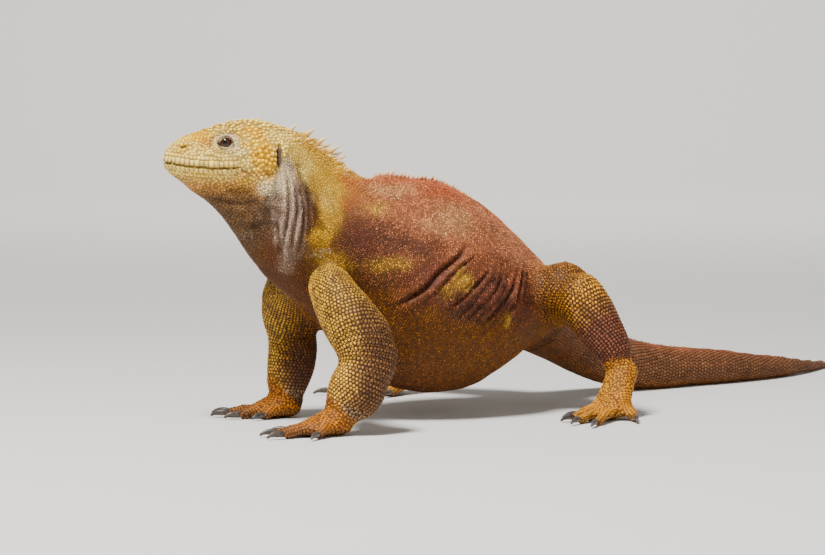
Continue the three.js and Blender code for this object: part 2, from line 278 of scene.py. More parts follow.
def on_head(along, left, height):
    """A place on the head: ahead of the ears, to the animal's left and above the floor."""
    return EAR_LINE + FACING * along + HEAD_LEFT * left + UP * height


def head_terms(places):
    from_ears = places - EAR_LINE
    return from_ears @ FACING, from_ears @ HEAD_LEFT, places[:, 2]


def run_along(points):
    """The length of a line up to each of its points, with no length to or from a missing one."""
    steps = np.nan_to_num(np.linalg.norm(np.diff(points, axis=0), axis=1), nan=0.0)
    return np.concatenate([[0], np.cumsum(steps)])


def points_at(wanted, run, points):
    """Points on a line, at the wanted lengths along it."""
    return np.stack([np.interp(wanted, run, points[:, k]) for k in range(3)], axis=1)


def smooth_line(stops, step):
    """Even points along a smooth line through the stops."""
    stops = np.asarray(stops)
    padded = np.vstack([2 * stops[0] - stops[1], stops, 2 * stops[-1] - stops[-2]])
    points = []
    for first, second, third, fourth in zip(padded, padded[1:], padded[2:], padded[3:]):
        for part in np.linspace(0, 1, 24, endpoint=False):
            points.append(0.5 * (2 * second + (third - first) * part
                                 + (2 * first - 5 * second + 4 * third - fourth) * part ** 2
                                 + (3 * second - first - 3 * third + fourth) * part ** 3))
    points = np.array(points + [stops[-1]])
    run = run_along(points)
    even = np.linspace(0, run[-1], max(3, int(run[-1] / step)))
    return points_at(even, run, points)


class Path:
    """A line through the middle of the body or a leg, with a left and an up all along it."""

    def __init__(self, stops, step=4 * MM, pole=UP):
        self.points = smooth_line(stops, step)
        self.run = run_along(self.points)
        self.ahead = unit(np.gradient(self.points, axis=0))
        self.left = unit(np.cross(self.ahead, pole))
        self.up = np.cross(self.left, self.ahead)

    def locate(self, places):
        """For each place: run along the line, distance to the left, distance up and nearest point."""
        nearest = np.zeros(len(places), dtype=int)
        for start in range(0, len(places), 8000):
            block = places[start:start + 8000]
            gaps = ((block[:, None] - self.points[None]) ** 2).sum(2)
            nearest[start:start + 8000] = gaps.argmin(1)
        offset = places - self.points[nearest]
        extra = (offset * self.ahead[nearest]).sum(1)
        offset = offset - self.ahead[nearest] * extra[:, None]
        left = (offset * self.left[nearest]).sum(1)
        up = (offset * self.up[nearest]).sum(1)
        return self.run[nearest] + extra, left, up, nearest

    def at(self, run):
        read = [np.array([np.interp(run, self.run, part[:, k]) for k in range(3)])
                for part in (self.points, self.ahead, self.left, self.up)]
        return read[0], unit(read[1]), unit(read[2]), unit(read[3])


def tail_tip():
    places = corners("tail_4")
    return places[places[:, 0].argmax()]


SNOUT_TIP = on_head(93 * MM, 0, 208 * MM)
BODY_STOPS = [SNOUT_TIP, on_head(50 * MM, 0, 206 * MM), on_head(20 * MM, 0, 203 * MM)]
BODY_STOPS += [meeting(*pair) for pair in zip(BODY[1:], BODY[2:])] + [tail_tip()]
BODY_PATH = Path(BODY_STOPS)
LEG_PATHS = {}
for upper, lower, paw in LIMBS:
    trunk = "trunk_front" if "arm" in upper else "trunk_rear"
    hip = meeting(upper, trunk)
    bend = meeting(upper, lower)
    heel = meeting(lower, paw)
    LEG_PATHS[upper] = LEG_PATHS[lower] = Path([hip, bend, heel], 3 * MM, FACING if "arm" in upper else UP)
DIGITS = {paw: [(meeting(lower, paw), middle(f"claw_{paw}_{number}")) for number in (1, 2, 3, 4, 5)]
          for upper, lower, paw in LIMBS}


def run_of(place):
    return float(BODY_PATH.locate(np.array([place]))[0][0])


EAR_RUN = run_of(on_head(0, 0, 205 * MM))
NECK_RUN = run_of(meeting("neck", "trunk_front"))
WAIST_RUN = run_of(meeting("trunk_front", "trunk_rear"))
HIP_RUN = run_of(meeting("trunk_rear", "tail_1"))
END_RUN = float(BODY_PATH.run[-1])


def ridge_asides():
    """How far to the left of the middle line the solids' ridge lies, over the run."""
    run, left, up, _ = BODY_PATH.locate(np.vstack([corners(node) for node in BODY[2:]]))
    bins = np.arange(EAR_RUN - 18 * MM, END_RUN - 10 * MM, 6 * MM)
    aside = np.zeros(len(bins))
    for number, start in enumerate(bins):
        here = np.flatnonzero(np.abs(run - start) < 13 * MM)
        aside[number] = left[here[up[here].argmax()]]
    soften = np.array((1, 2, 3, 4, 3, 2, 1)) / 16
    return bins, np.convolve(np.pad(aside, 3, mode="edge"), soften, mode="valid")


RIDGE_RUNS, RIDGE_ASIDES = ridge_asides()


def ridge_aside(run):
    return np.interp(run, RIDGE_RUNS, RIDGE_ASIDES)


# Folds and marks, by the pixel of the photograph that they are seen at

PLEATS = [
    [(280, 157), (285, 169), (289, 184), (288, 216), (283, 244), (282, 270)],
    [(284, 158), (292, 176), (296, 192), (298, 210), (293, 232), (289, 262)],
    [(288, 158), (298, 180), (302, 196), (304, 216), (301, 240), (297, 264)],
    [(294, 160), (304, 184), (309, 205), (308, 232)],
    [(276, 220), (279, 236), (280, 256)],
]
FLANK_FOLDS = [
    ([(471, 238), (462, 254), (440, 273), (428, 286), (411, 298), (384, 311)], 3.2, 2.3),
    ([(486, 250), (465, 264), (452, 275), (436, 292), (420, 304)], 1.5, 1.5),
    ([(497, 264), (480, 283), (456, 305), (440, 313)], 1.7, 1.5),
    ([(508, 267), (499, 288), (478, 311), (460, 328)], 2.0, 1.6),
    ([(519, 268), (512, 292), (493, 316), (477, 332)], 2.2, 1.6),
    ([(525, 262), (521, 288), (509, 314), (500, 330)], 2.4, 1.8),
    ([(309, 197), (316, 214), (323, 229), (333, 238)], 1.8, 2.0),
]
WRINKLED = ((486, 294), 46, 40)
WRINKLE_ALONG = -0.6 * CAMERA_RIGHT - 0.8 * CAMERA_ABOVE
WRINKLE_ACROSS = 0.8 * CAMERA_RIGHT - 0.6 * CAMERA_ABOVE
HEAD_FOLDS = [
    ([(236, 169), (245, 172), (254, 176)], 0.9, 1.4),
    ([(262, 172), (270, 176), (276, 170)], 1.3, 2.2),
    ([(240, 160), (250, 157), (258, 154)], 0.8, 1.6),
    ([(208, 196), (226, 203), (246, 204), (262, 201)], 1.1, 2.4),
    ([(236, 226), (252, 228), (268, 222)], 1.0, 2.6),
]
BULGES = [
    ((268, 190), 11, 2.6),
    ((262, 150), 9, 1.4),
    ((251, 131), 7, 1.0),
    ((302, 258), 10, 1.5),
    ((233, 159), 7, 0.8),
]
TEMPLE = [(253, 131), (265, 152)]
MARKS = [
    ("pleats", (287, 177), 9, 18, 0.9),
    ("pleats", (293, 205), 17, 24, 0.9),
    ("pleats", (290, 238), 13, 24, 0.85),
    ("pleats", (286, 262), 9, 14, 0.4),
    ("bone", (286, 180), 8, 20, 0.65),
    # Painted shadow behind the last neck pleat.
    ("dark_patch_and_shade", (308, 214), 6, 24, 0.75),
    ("throat", (298, 254), 7, 16, 0.6),
    ("gold", (263, 157), 17, 18, 1.0),
    ("gold", (251, 132), 16, 10, 1.0),
    ("gold", (256, 143), 13, 8, 0.9),
    ("gold", (200, 136), 17, 9, 1.0),
    ("gold", (182, 147), 10, 7, 0.5),
    ("orange", (205, 141), 7, 8, 0.85),
    ("jaw", (210, 141), 5, 7, 0.5),
    ("bone", (226, 142), 14, 10, 0.75),
    ("pleats", (224, 136), 11, 4, 0.35),
    ("bone", (240, 152), 12, 5, 0.5),
    ("jaw", (248, 175), 20, 5, 0.65),
    ("gold", (244, 181), 12, 3, 0.6),
    ("gold", (205, 175), 24, 4, 0.4),
    ("throat", (178, 180), 8, 4, 0.45),
    ("bone", (266, 190), 11, 8, 0.75),
    ("pleats", (272, 200), 10, 7, 0.7),
    ("throat", (240, 196), 22, 7, 0.7),
    ("cream", (308, 166), 14, 16, 0.75),
    ("cream", (296, 150), 14, 12, 0.5),
    ("yellow", (322, 182), 13, 20, 0.8),
    ("yellow", (330, 212), 13, 24, 0.85),
    ("cream", (328, 200), 8, 14, 0.45),
    ("gold", (320, 238), 11, 9, 0.6),
    ("yellow", (334, 262), 22, 13, 0.75),
    ("dark_patch_and_shade", (362, 262), 11, 20, 0.45),
    ("bone", (316, 256), 7, 2, 0.6),
    ("bone", (327, 251), 8, 2, 0.5),
    ("rust", (352, 182), 17, 12, 0.7),
    ("rust", (352, 200), 12, 9, 0.6),
    ("yellow", (374, 207), 15, 9, 0.55),
    ("fleck", (392, 188), 28, 9, 0.45),
    ("dark_patch_and_shade", (372, 228), 26, 13, 0.55),
    ("dark_patch_and_shade", (392, 238), 32, 15, 0.7),
    ("dark_patch_and_shade", (422, 246), 24, 10, 0.6),
    ("dark_patch_and_shade", (352, 246), 18, 16, 0.4),
    ("yellow", (392, 264), 26, 9, 0.5),
    ("dark_patch_and_shade", (378, 284), 16, 9, 0.45),
    ("yellow", (463, 277), 12, 12, 0.75),
    ("yellow", (448, 292), 7, 7, 0.6),
    ("rust", (440, 190), 26, 7, 0.4),
    ("dark_patch_and_shade", (490, 230), 24, 12, 0.25),
    ("fleck", (448, 218), 30, 14, 0.35),
    ("dark_patch_and_shade", (494, 282), 12, 18, 0.5),
    ("dark_patch_and_shade", (470, 316), 24, 10, 0.6),
    ("yellow", (508, 322), 5, 10, 0.7),
    # Painted shadow in the fold between trunk and thigh.
    ("dark_patch_and_shade", (527, 290), 5, 30, 0.7),
    ("flank", (420, 300), 34, 10, 0.6),
    ("flank", (500, 262), 18, 20, 0.4),
]
PIXELS_PER_METRE = 1.28 / MM


class Hide:
    """The finished skin, with what the scales need to know of it."""

    def __init__(self, mesh):
        self.count = len(mesh.vertices)
        self.places = np.zeros(self.count * 3)
        mesh.vertices.foreach_get("co", self.places)
        self.places = self.places.reshape(-1, 3)
        self.normals = np.zeros(self.count * 3)
        mesh.vertices.foreach_get("normal", self.normals)
        self.normals = self.normals.reshape(-1, 3)
        self.edges = np.zeros(len(mesh.edges) * 2, dtype=np.int64)
        mesh.edges.foreach_get("vertices", self.edges)
        self.edges = self.edges.reshape(-1, 2)
        self.faces = [tuple(face.vertices) for face in mesh.polygons]
        self.tree = BVHTree.FromPolygons([tuple(place) for place in self.places], self.faces)

    def relax(self, values, weight, rounds, back=0.0):
        """Draws each value towards its neighbours' mean, then pushes it away by the share in back."""
        ends, starts = self.edges.T
        count = np.bincount(ends, minlength=self.count) + np.bincount(starts, minlength=self.count)
        for turn in range(rounds):
            for share in (weight, -weight * back) if back else (weight,):
                total = np.zeros_like(values)
                for k in range(values.shape[1]):
                    total[:, k] = np.bincount(ends, values[starts, k], self.count)
                    total[:, k] += np.bincount(starts, values[ends, k], self.count)
                share = np.asarray(share)
                share = share[:, None] if share.ndim else share
                values = values + share * (total / np.maximum(count, 1)[:, None] - values)
        return values

    def nearest(self, places):
        """The spot on the skin nearest to each place, with its vertex and its face."""
        spots = np.zeros((len(places), 3))
        vertices = np.zeros(len(places), dtype=int)
        faces = np.zeros(len(places), dtype=int)
        for number, place in enumerate(places):
            spot, _, face, _ = self.tree.find_nearest(Vector(place))
            ring = self.faces[face]
            gaps = [(self.places[v, 0] - spot.x) ** 2 + (self.places[v, 1] - spot.y) ** 2
                    + (self.places[v, 2] - spot.z) ** 2 for v in ring]
            vertices[number] = ring[gaps.index(min(gaps))]
            faces[number] = face
            spots[number] = spot
        return spots, vertices, faces


# The skin

made = {}
SEAM = 0.5 * MM
RIDGE_RISE = 1.4 * MM
RIDGE_SLACK = 0.3 * MM
CREST_HALF_WIDTH = 9 * MM
PUSH_BACK = 1.04
FINE_HEAD_FLOOR, FINE_HEAD_REAR = 165 * MM, -235 * MM
FINE_PAW_TOP, FINE_PAW_REAR = 22 * MM, -50 * MM
FINE_EYE, FINE_LID = 14 * MM, 10 * MM
EAR_HOLLOW = (2.9 * MM, 10.0 * MM, 9.0 * MM)
NOSTRIL_AHEAD, NOSTRIL_ASIDE, NOSTRIL_HEIGHT = 75 * MM, 13.2 * MM, 220.5 * MM
FLOOR_GAP = 0.25 * MM


def joined_flesh(bm):
    """All flesh solids in one mesh, each a little grown so that they overlap across the parting cuts."""
    for node in FLESH + ["ear_left", "ear_right"]:
        part = bmesh.new()
        part.from_mesh(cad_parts[node].data)
        bmesh.ops.remove_doubles(part, verts=part.verts, dist=0.01 * MM)
        part.normal_update()
        for vert in part.verts:
            vert.co += vert.normal * SEAM
        grown = bpy.data.meshes.new("grown")
        part.to_mesh(grown)
        part.free()
        bm.from_mesh(grown)
        bpy.data.meshes.remove(grown)
    for side in SIDES:
        bmesh.ops.create_uvsphere(bm, u_segments=32, v_segments=20, radius=EYE_RADIUS + skin_sizes().lid,
                                  matrix=Matrix.Translation(EYE_PLACES[side]))


def remeshed(mesh, grain):
    carrier = bpy.data.objects.new("carrier", mesh)
    bpy.context.scene.collection.objects.link(carrier)
    modifier = carrier.modifiers.new("remesh", "REMESH")
    modifier.mode = "VOXEL"
    modifier.voxel_size = grain
    depsgraph = bpy.context.evaluated_depsgraph_get()
    result = bpy.data.meshes.new_from_object(carrier.evaluated_get(depsgraph))
    bpy.data.objects.remove(carrier)
    return result


def drop_islands(bm):
    """Keeps the largest connected piece."""
    left = set(bm.verts)
    islands = []
    while left:
        island = {left.pop()}
        edge = list(island)
        while edge:
            vert = edge.pop()
            for link in vert.link_edges:
                other = link.other_vert(vert)
                if other not in island:
                    island.add(other)
                    edge.append(other)
        left -= island
        islands.append(island)
    keep = max(islands, key=len)
    bmesh.ops.delete(bm, geom=[v for v in bm.verts if v not in keep], context="VERTS")


def regions_of(places):
    """The flesh node nearest to each place."""
    points, faces, owners = [], [], []
    for node in FLESH:
        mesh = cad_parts[node].data
        start = len(points)
        points.extend(tuple(v.co) for v in mesh.vertices)
        faces.extend(tuple(i + start for i in p.vertices) for p in mesh.polygons)
        owners.extend([REGION[node]] * len(mesh.polygons))
    tree = BVHTree.FromPolygons(points, faces)
    return np.array([owners[tree.find_nearest(Vector(place))[2]] for place in places])


def ridge_heights(run, aside, up, regions):
    """How far the back's ridge lies above the middle line without its spines, over the run."""
    bins = np.arange(0, END_RUN, 3 * MM)
    top = np.full(len(bins), np.nan)
    middle_strip = (np.abs(aside) < 3.5 * MM) & ~np.isin(regions, LEG_REGIONS + PAW_REGIONS)
    for number, start in enumerate(bins):
        here = middle_strip & (run >= start) & (run < start + 4 * MM)
        if here.any():
            top[number] = up[here].max()
    known = ~np.isnan(top)
    top = np.interp(bins, bins[known], top[known])
    low = np.array([np.sort(top[max(0, n - 3):n + 4])[1:3].mean() for n in range(len(top))])
    return bins, np.convolve(np.pad(low, 2, mode="edge"), np.ones(5) / 5, mode="valid") + RIDGE_RISE


def divide(bm, inside):
    """Halves the edges of the faces whose middles lie inside."""
    bm.faces.ensure_lookup_table()
    middles = np.array([face.calc_center_median() for face in bm.faces])
    edges = {edge for number in np.flatnonzero(inside(middles)) for edge in bm.faces[number].edges}
    bmesh.ops.subdivide_edges(bm, edges=list(edges), cuts=1, use_grid_fill=True)


def near_head(places):
    along = (places - EAR_LINE) @ FACING
    return (along > -16 * MM) & (places[:, 2] > FINE_HEAD_FLOOR) & (places[:, 0] < FINE_HEAD_REAR)


def eye_distance(places):
    return np.minimum(*[np.linalg.norm(places - EYE_PLACES[side], axis=1) for side in SIDES])


def near_eye(places):
    return eye_distance(places) < FINE_EYE


def near_lid(places):
    return eye_distance(places) < FINE_LID


def near_paw(places):
    return (places[:, 2] < FINE_PAW_TOP) & (places[:, 0] < FINE_PAW_REAR)


def photo_place(hide, pixel):
    spot = hide.tree.ray_cast(Vector(CAMERA_PLACE), Vector(photo_ray(*pixel)))[0]
    if spot is None:
        raise RuntimeError(f"pixel {pixel} misses the animal")
    return np.array(spot)


def left_twin(places):
    """Each place, or its mirror image where it is on the animal's right side."""
    _, side, _, nearest = BODY_PATH.locate(places)
    return places - BODY_PATH.left[nearest] * (np.minimum(side, 0) * 2)[:, None]


def body_terms(places):
    """Run along the body and angle round it from the crest."""
    run, left, up, _ = BODY_PATH.locate(places)
    return run, np.arctan2(np.abs(left), up)


def stroke_gap(hide, pixels, twins):
    """Distance from each vertex to a line drawn over pixels and the share of the line at its nearest point,
    the same on both sides of the body."""
    line = smooth_line([photo_place(hide, pixel) for pixel in pixels], 1.5 * MM)
    gap = np.full(len(twins), 1.0)
    share = np.zeros(len(twins))
    close = ((twins > line.min(0) - 0.015) & (twins < line.max(0) + 0.015)).all(axis=1)
    gaps = ((twins[close, None] - line[None]) ** 2).sum(2)
    gap[close] = np.sqrt(gaps.min(1))
    share[close] = gaps.argmin(1) / (len(line) - 1)
    return gap, share


def spot_gap(hide, pixel, width, height, twins):
    """1 at the rim of an oval seen over a pixel, 0 at its middle, the same on both sides of the body."""
    offset = twins - photo_place(hide, pixel)
    deep = 2.2 * max(width, height)
    parts = [offset @ CAMERA_RIGHT / width, offset @ CAMERA_ABOVE / height, offset @ CAMERA_BACK / deep]
    return np.sqrt(sum(part ** 2 for part in parts)) * PIXELS_PER_METRE


MOUTH_LINE = np.array([(95, 208.4), (84, 207.4), (70, 205.2), (60, 204.4), (45, 203.6), (32, 204.2)]) * MM


def mouth_height(along):
    return np.interp(-along, -MOUTH_LINE[:, 0], MOUTH_LINE[:, 1])


def above_mouth(places):
    along, left, height = head_terms(places)
    return height - mouth_height(along)


def eye_terms(places, side):
    """Ahead of an eye's middle and above it, in half openings, then the offset and its outward part."""
    sizes = skin_sizes()
    offset = places - EYE_PLACES[side]
    ahead = offset @ FACING / (sizes.eye_width / 2)
    above = offset @ UP / (sizes.eye_height / 2)
    return ahead, above, offset, offset @ OUTWARD[side]


def lid_ring(places):
    """1 round the opening between the nearer eye's lids, growing outwards, and large away from it."""
    rings = []
    for side in SIDES:
        ahead, above, _, out = eye_terms(places, side)
        rings.append(np.where(out > -2 * MM, np.hypot(ahead, above * 0.85), 9.0))
    return np.minimum(*rings)


def fold_gaps(hide, twins):
    """Every fold with the distance of each vertex from it, its depth there and its width."""
    strokes = [(pixels, 2.6, 1.5) for pixels in PLEATS] + FLANK_FOLDS + HEAD_FOLDS
    uneven = noise(twins, 9 * MM, 31)
    folds = []
    for pixels, depth, width in strokes:
        gap, share = stroke_gap(hide, pixels, twins)
        taper = ramp(share, 0.0, 0.32) * (1 - ramp(share, 0.68, 1.0))
        folds.append((np.abs(gap + uneven * 0.5 * MM), depth * MM * taper * (1 + 0.35 * uneven), width * MM))
    return folds


def wrinkles(hide, twins):
    """1 in the fine creases of the loose skin before the thigh, 0 between them."""
    warp = noise(twins, 14 * MM, 33) * 3 * MM
    stretched = np.stack([
        twins @ WRINKLE_ALONG * 0.18,
        twins @ WRINKLE_ACROSS + warp,
        twins @ CAMERA_BACK * 0.3,
    ], axis=1)
    loose = 1 - ramp(spot_gap(hide, *WRINKLED, twins), 0.6, 1.1)
    return hill(noise(stretched, 5 * MM, 34), 0.16) * loose


def nostril_gap(places):
    """Distance from the nearer nostril, longer across its crescent."""
    gaps = []
    for sign in (1, -1):
        offset = places - on_head(NOSTRIL_AHEAD, sign * NOSTRIL_ASIDE, NOSTRIL_HEIGHT)
        ahead, above = offset @ FACING, offset @ UP
        gaps.append(np.hypot(np.hypot(ahead * 0.75 + above * 0.4, above * 1.25), offset @ HEAD_LEFT * 0.4))
    return np.minimum(*gaps)


def ear_gap(places):
    """1 at the rim of the nearer ear's hollow."""
    gaps = []
    for side in SIDES:
        offset = places - EAR_PLACES[side]
        parts = [offset @ axis / reach for axis, reach in zip((FACING, UP, HEAD_LEFT), EAR_HOLLOW)]
        gaps.append(np.sqrt(sum(part ** 2 for part in parts)))
    return np.minimum(*gaps)


def sculpt(hide, twins, folds, regions):
    """How far each vertex of the skin moves along its normal, for folds, mouth, nostrils and ears."""
    sizes = skin_sizes()
    places = hide.places
    on_body = ~np.isin(regions, LEG_REGIONS + PAW_REGIONS)
    move = np.full(len(places), -sizes.coat_depth)
    move += noise(places, 38 * MM, 3) * 0.9 * MM * on_body
    move += noise(places, 13 * MM, 5) * 0.35 * MM
    for gap, depth, width in folds:
        move += on_body * (hill(gap - 2.1 * width, 1.2 * width) * 0.5 - hill(gap, width)) * depth
    move -= on_body * wrinkles(hide, twins) * 1.2 * MM
    for pixel, radius, height in BULGES:
        move += on_body * hill(spot_gap(hide, pixel, radius, radius, twins), 1.0) * height * MM
    lids = lid_ring(places)
    move += hill(lids - 3.1, 0.5) * 0.7 * MM - hill(lids - 2.35, 0.22) * 0.8 * MM

    along, left, height = head_terms(places)
    in_mouth = ramp(along, 28 * MM, 36 * MM) * np.isin(regions, HEAD_REGIONS)
    gap = height - mouth_height(along)
    move -= in_mouth * hill(gap, 0.8 * MM) * sizes.mouth
    move += in_mouth * (hill(gap - 2.6 * MM, 1.6 * MM) * 0.7 + hill(gap + 2.4 * MM, 1.5 * MM) * 0.5) * MM
    gap = nostril_gap(places)
    move += hill(gap - 3.9 * MM, 1.4 * MM) * 1.2 * MM - hill(gap, 2.2 * MM) * sizes.nostril
    gap = ear_gap(places)
    move -= (1 - ramp(gap, 0.6, 1.2)) * sizes.ear
    for side in SIDES:
        offset = places - EAR_PLACES[side]
        near = np.linalg.norm(offset, axis=1) < 20 * MM
        front = hill(offset @ FACING - 4.8 * MM, 2.2 * MM) * (1 - ramp(np.abs(offset @ UP), 7 * MM, 12 * MM))
        move += near * front * 1.5 * MM
    return move


def opening(ahead, above):
    """1 at the rim of the opening between the lids, an almond with a low, pointed front corner."""
    above = above + 0.3 * ramp(ahead, 0.1, 1.0)
    sharp = np.where(ahead > 0, 1.4, 2.2)
    half = (1 - np.minimum(np.abs(ahead), 1) ** sharp) ** 0.8 * np.where(above > 0, 0.95, 0.9) + 1e-3
    inside = np.abs(above) / half
    return np.where(np.abs(ahead) < 1, np.maximum(inside, np.abs(ahead)), np.hypot(ahead, above))


def open_lids(hide, places):
    """Draws the skin under the eyeball inside the opening, and lays it over the eyeball round it."""
    sizes = skin_sizes()
    for side in SIDES:
        ahead, above, offset, out = eye_terms(places, side)
        distance = np.linalg.norm(offset, axis=1)
        oval = opening(ahead, above)
        facing_out = out > 0
        close = facing_out & (distance < EYE_RADIUS * 1.9)
        lid = ramp(oval, 0.92, 1.12)
        brow = 0.8 * ramp(above, 0.0, 0.9) * hill(oval - 1.25, 0.45)
        over = EYE_RADIUS + sizes.lid * (0.75 + 0.35 * hill(oval - 1.5, 0.5) + brow)
        target = EYE_RADIUS - 2.0 * MM + (over - EYE_RADIUS + 2.0 * MM) * lid
        snug = close & ((oval < 1.12) | (distance < over))
        places[snug] = EYE_PLACES[side] + unit(offset[snug]) * target[snug][:, None]
    return places


def flow_over(hide, regions):
    """The way that the scales point: to the tail along the body, and to the tips along legs and digits."""
    flow = np.zeros_like(hide.places)
    body = np.isin(regions, [REGION[node] for node in BODY])
    nearest = BODY_PATH.locate(hide.places[body])[3]
    flow[body] = BODY_PATH.ahead[nearest]
    for upper, lower, paw in LIMBS:
        for node in (upper, lower):
            here = regions == REGION[node]
            path = LEG_PATHS[node]
            flow[here] = path.ahead[path.locate(hide.places[here])[3]]
        here = regions == REGION[paw]
        places = hide.places[here]
        lines = [(tip - heel, heel) for heel, tip in DIGITS[paw]]
        gaps = np.stack([np.linalg.norm(np.cross(places - heel, unit(line)), axis=1) for line, heel in lines])
        flow[here] = unit(np.array([line for line, heel in lines]))[gaps.argmin(0)]
    flow = hide.relax(flow, 0.7, 12)
    flow -= hide.normals * (flow * hide.normals).sum(1)[:, None]
    return unit(flow)


def leg_colours(places, regions):
    """Colours of the legs, hands and feet."""
    result = np.zeros_like(places)
    wander = noise(places, 18 * MM, 11) * 0.5 + noise(places, 6 * MM, 12) * 0.25
    for upper, lower, paw in LIMBS:
        outward = -1 if upper.endswith("left") else 1
        fore = "arm" in upper
        for node in (upper, lower):
            here = regions == REGION[node]
            path = LEG_PATHS[node]
            run, _, up, nearest = path.locate(places[here])
            part = run / path.run[-1]
            inward = (path.points[nearest, 1] - places[here, 1]) * outward
            w = wander[here]
            if fore:
                colours = mix(tint("yellow") * 0.8, tint("leg"), ramp(part + w * 0.2, 0.4, 0.75))
                colours = mix(colours, tint("yellow"), 0.5 * ramp(up + w * 4 * MM, 4 * MM, 14 * MM))
                # Belly colour on the inner side of each arm: partly the arm's own colour, partly painted
                # shade from the chest on the far arm.
                colours = mix(colours, tint("belly"), 0.75 * ramp(inward + w * 5 * MM, 2 * MM, 14 * MM))
                patches = noise(places[here], 6 * MM, 13) + 0.6 * noise(places[here], 2.5 * MM, 14)
                mottled = ramp(patches, -0.3, 0.6)
                colours = mix(colours, tint("dark_patch_and_shade"), 0.7 * mottled * (1 - ramp(part, 0.35, 0.7)))
                # Painted shade on the rear of the forearm.
                behind = ramp(w * 10 * MM - up, -9 * MM, 6 * MM) * ramp(part + w * 0.1, 0.36, 0.62)
                colours = mix(colours, tint("dark_patch_and_shade"), 0.85 * behind)
                colours = mix(colours, tint("bone"), 0.25 * hill(part - 1.0 + w * 0.03, 0.04))
            else:
                colours = mix(tint("thigh"), tint("shin"), ramp(part + w * 0.12, 0.5, 0.75))
                behind = ramp(places[here, 0] - path.points[-1][0] + w * 0.01, 0.0, 0.014)
                colours = mix(colours, tint("shin"), behind * ramp(part, 0.3, 0.5))
                inner = ramp(-(places[here, 1] - path.points[-1][1]) * outward, 0.012, 0.022)
                colours = mix(colours, tint("belly"), inner * 0.8)
            result[here] = colours
        here = regions == REGION[paw]
        heel = DIGITS[paw][0][0]
        reach = np.linalg.norm(places[here] - heel, axis=1)
        w = wander[here]
        ground = tint("orange") * np.ones((here.sum(), 1))
        if fore:
            ground = mix(ground, tint("finger"), ramp(reach + w * 0.006, 24 * MM, 38 * MM))
        else:
            ground = mix(tint("orange"), tint("thigh"), 0.5 + 0.5 * w)
        sole = ramp(9 * MM - places[here, 2], 0, 6 * MM)
        result[here] = mix(ground, tint("throat"), sole * 0.65)
    return result


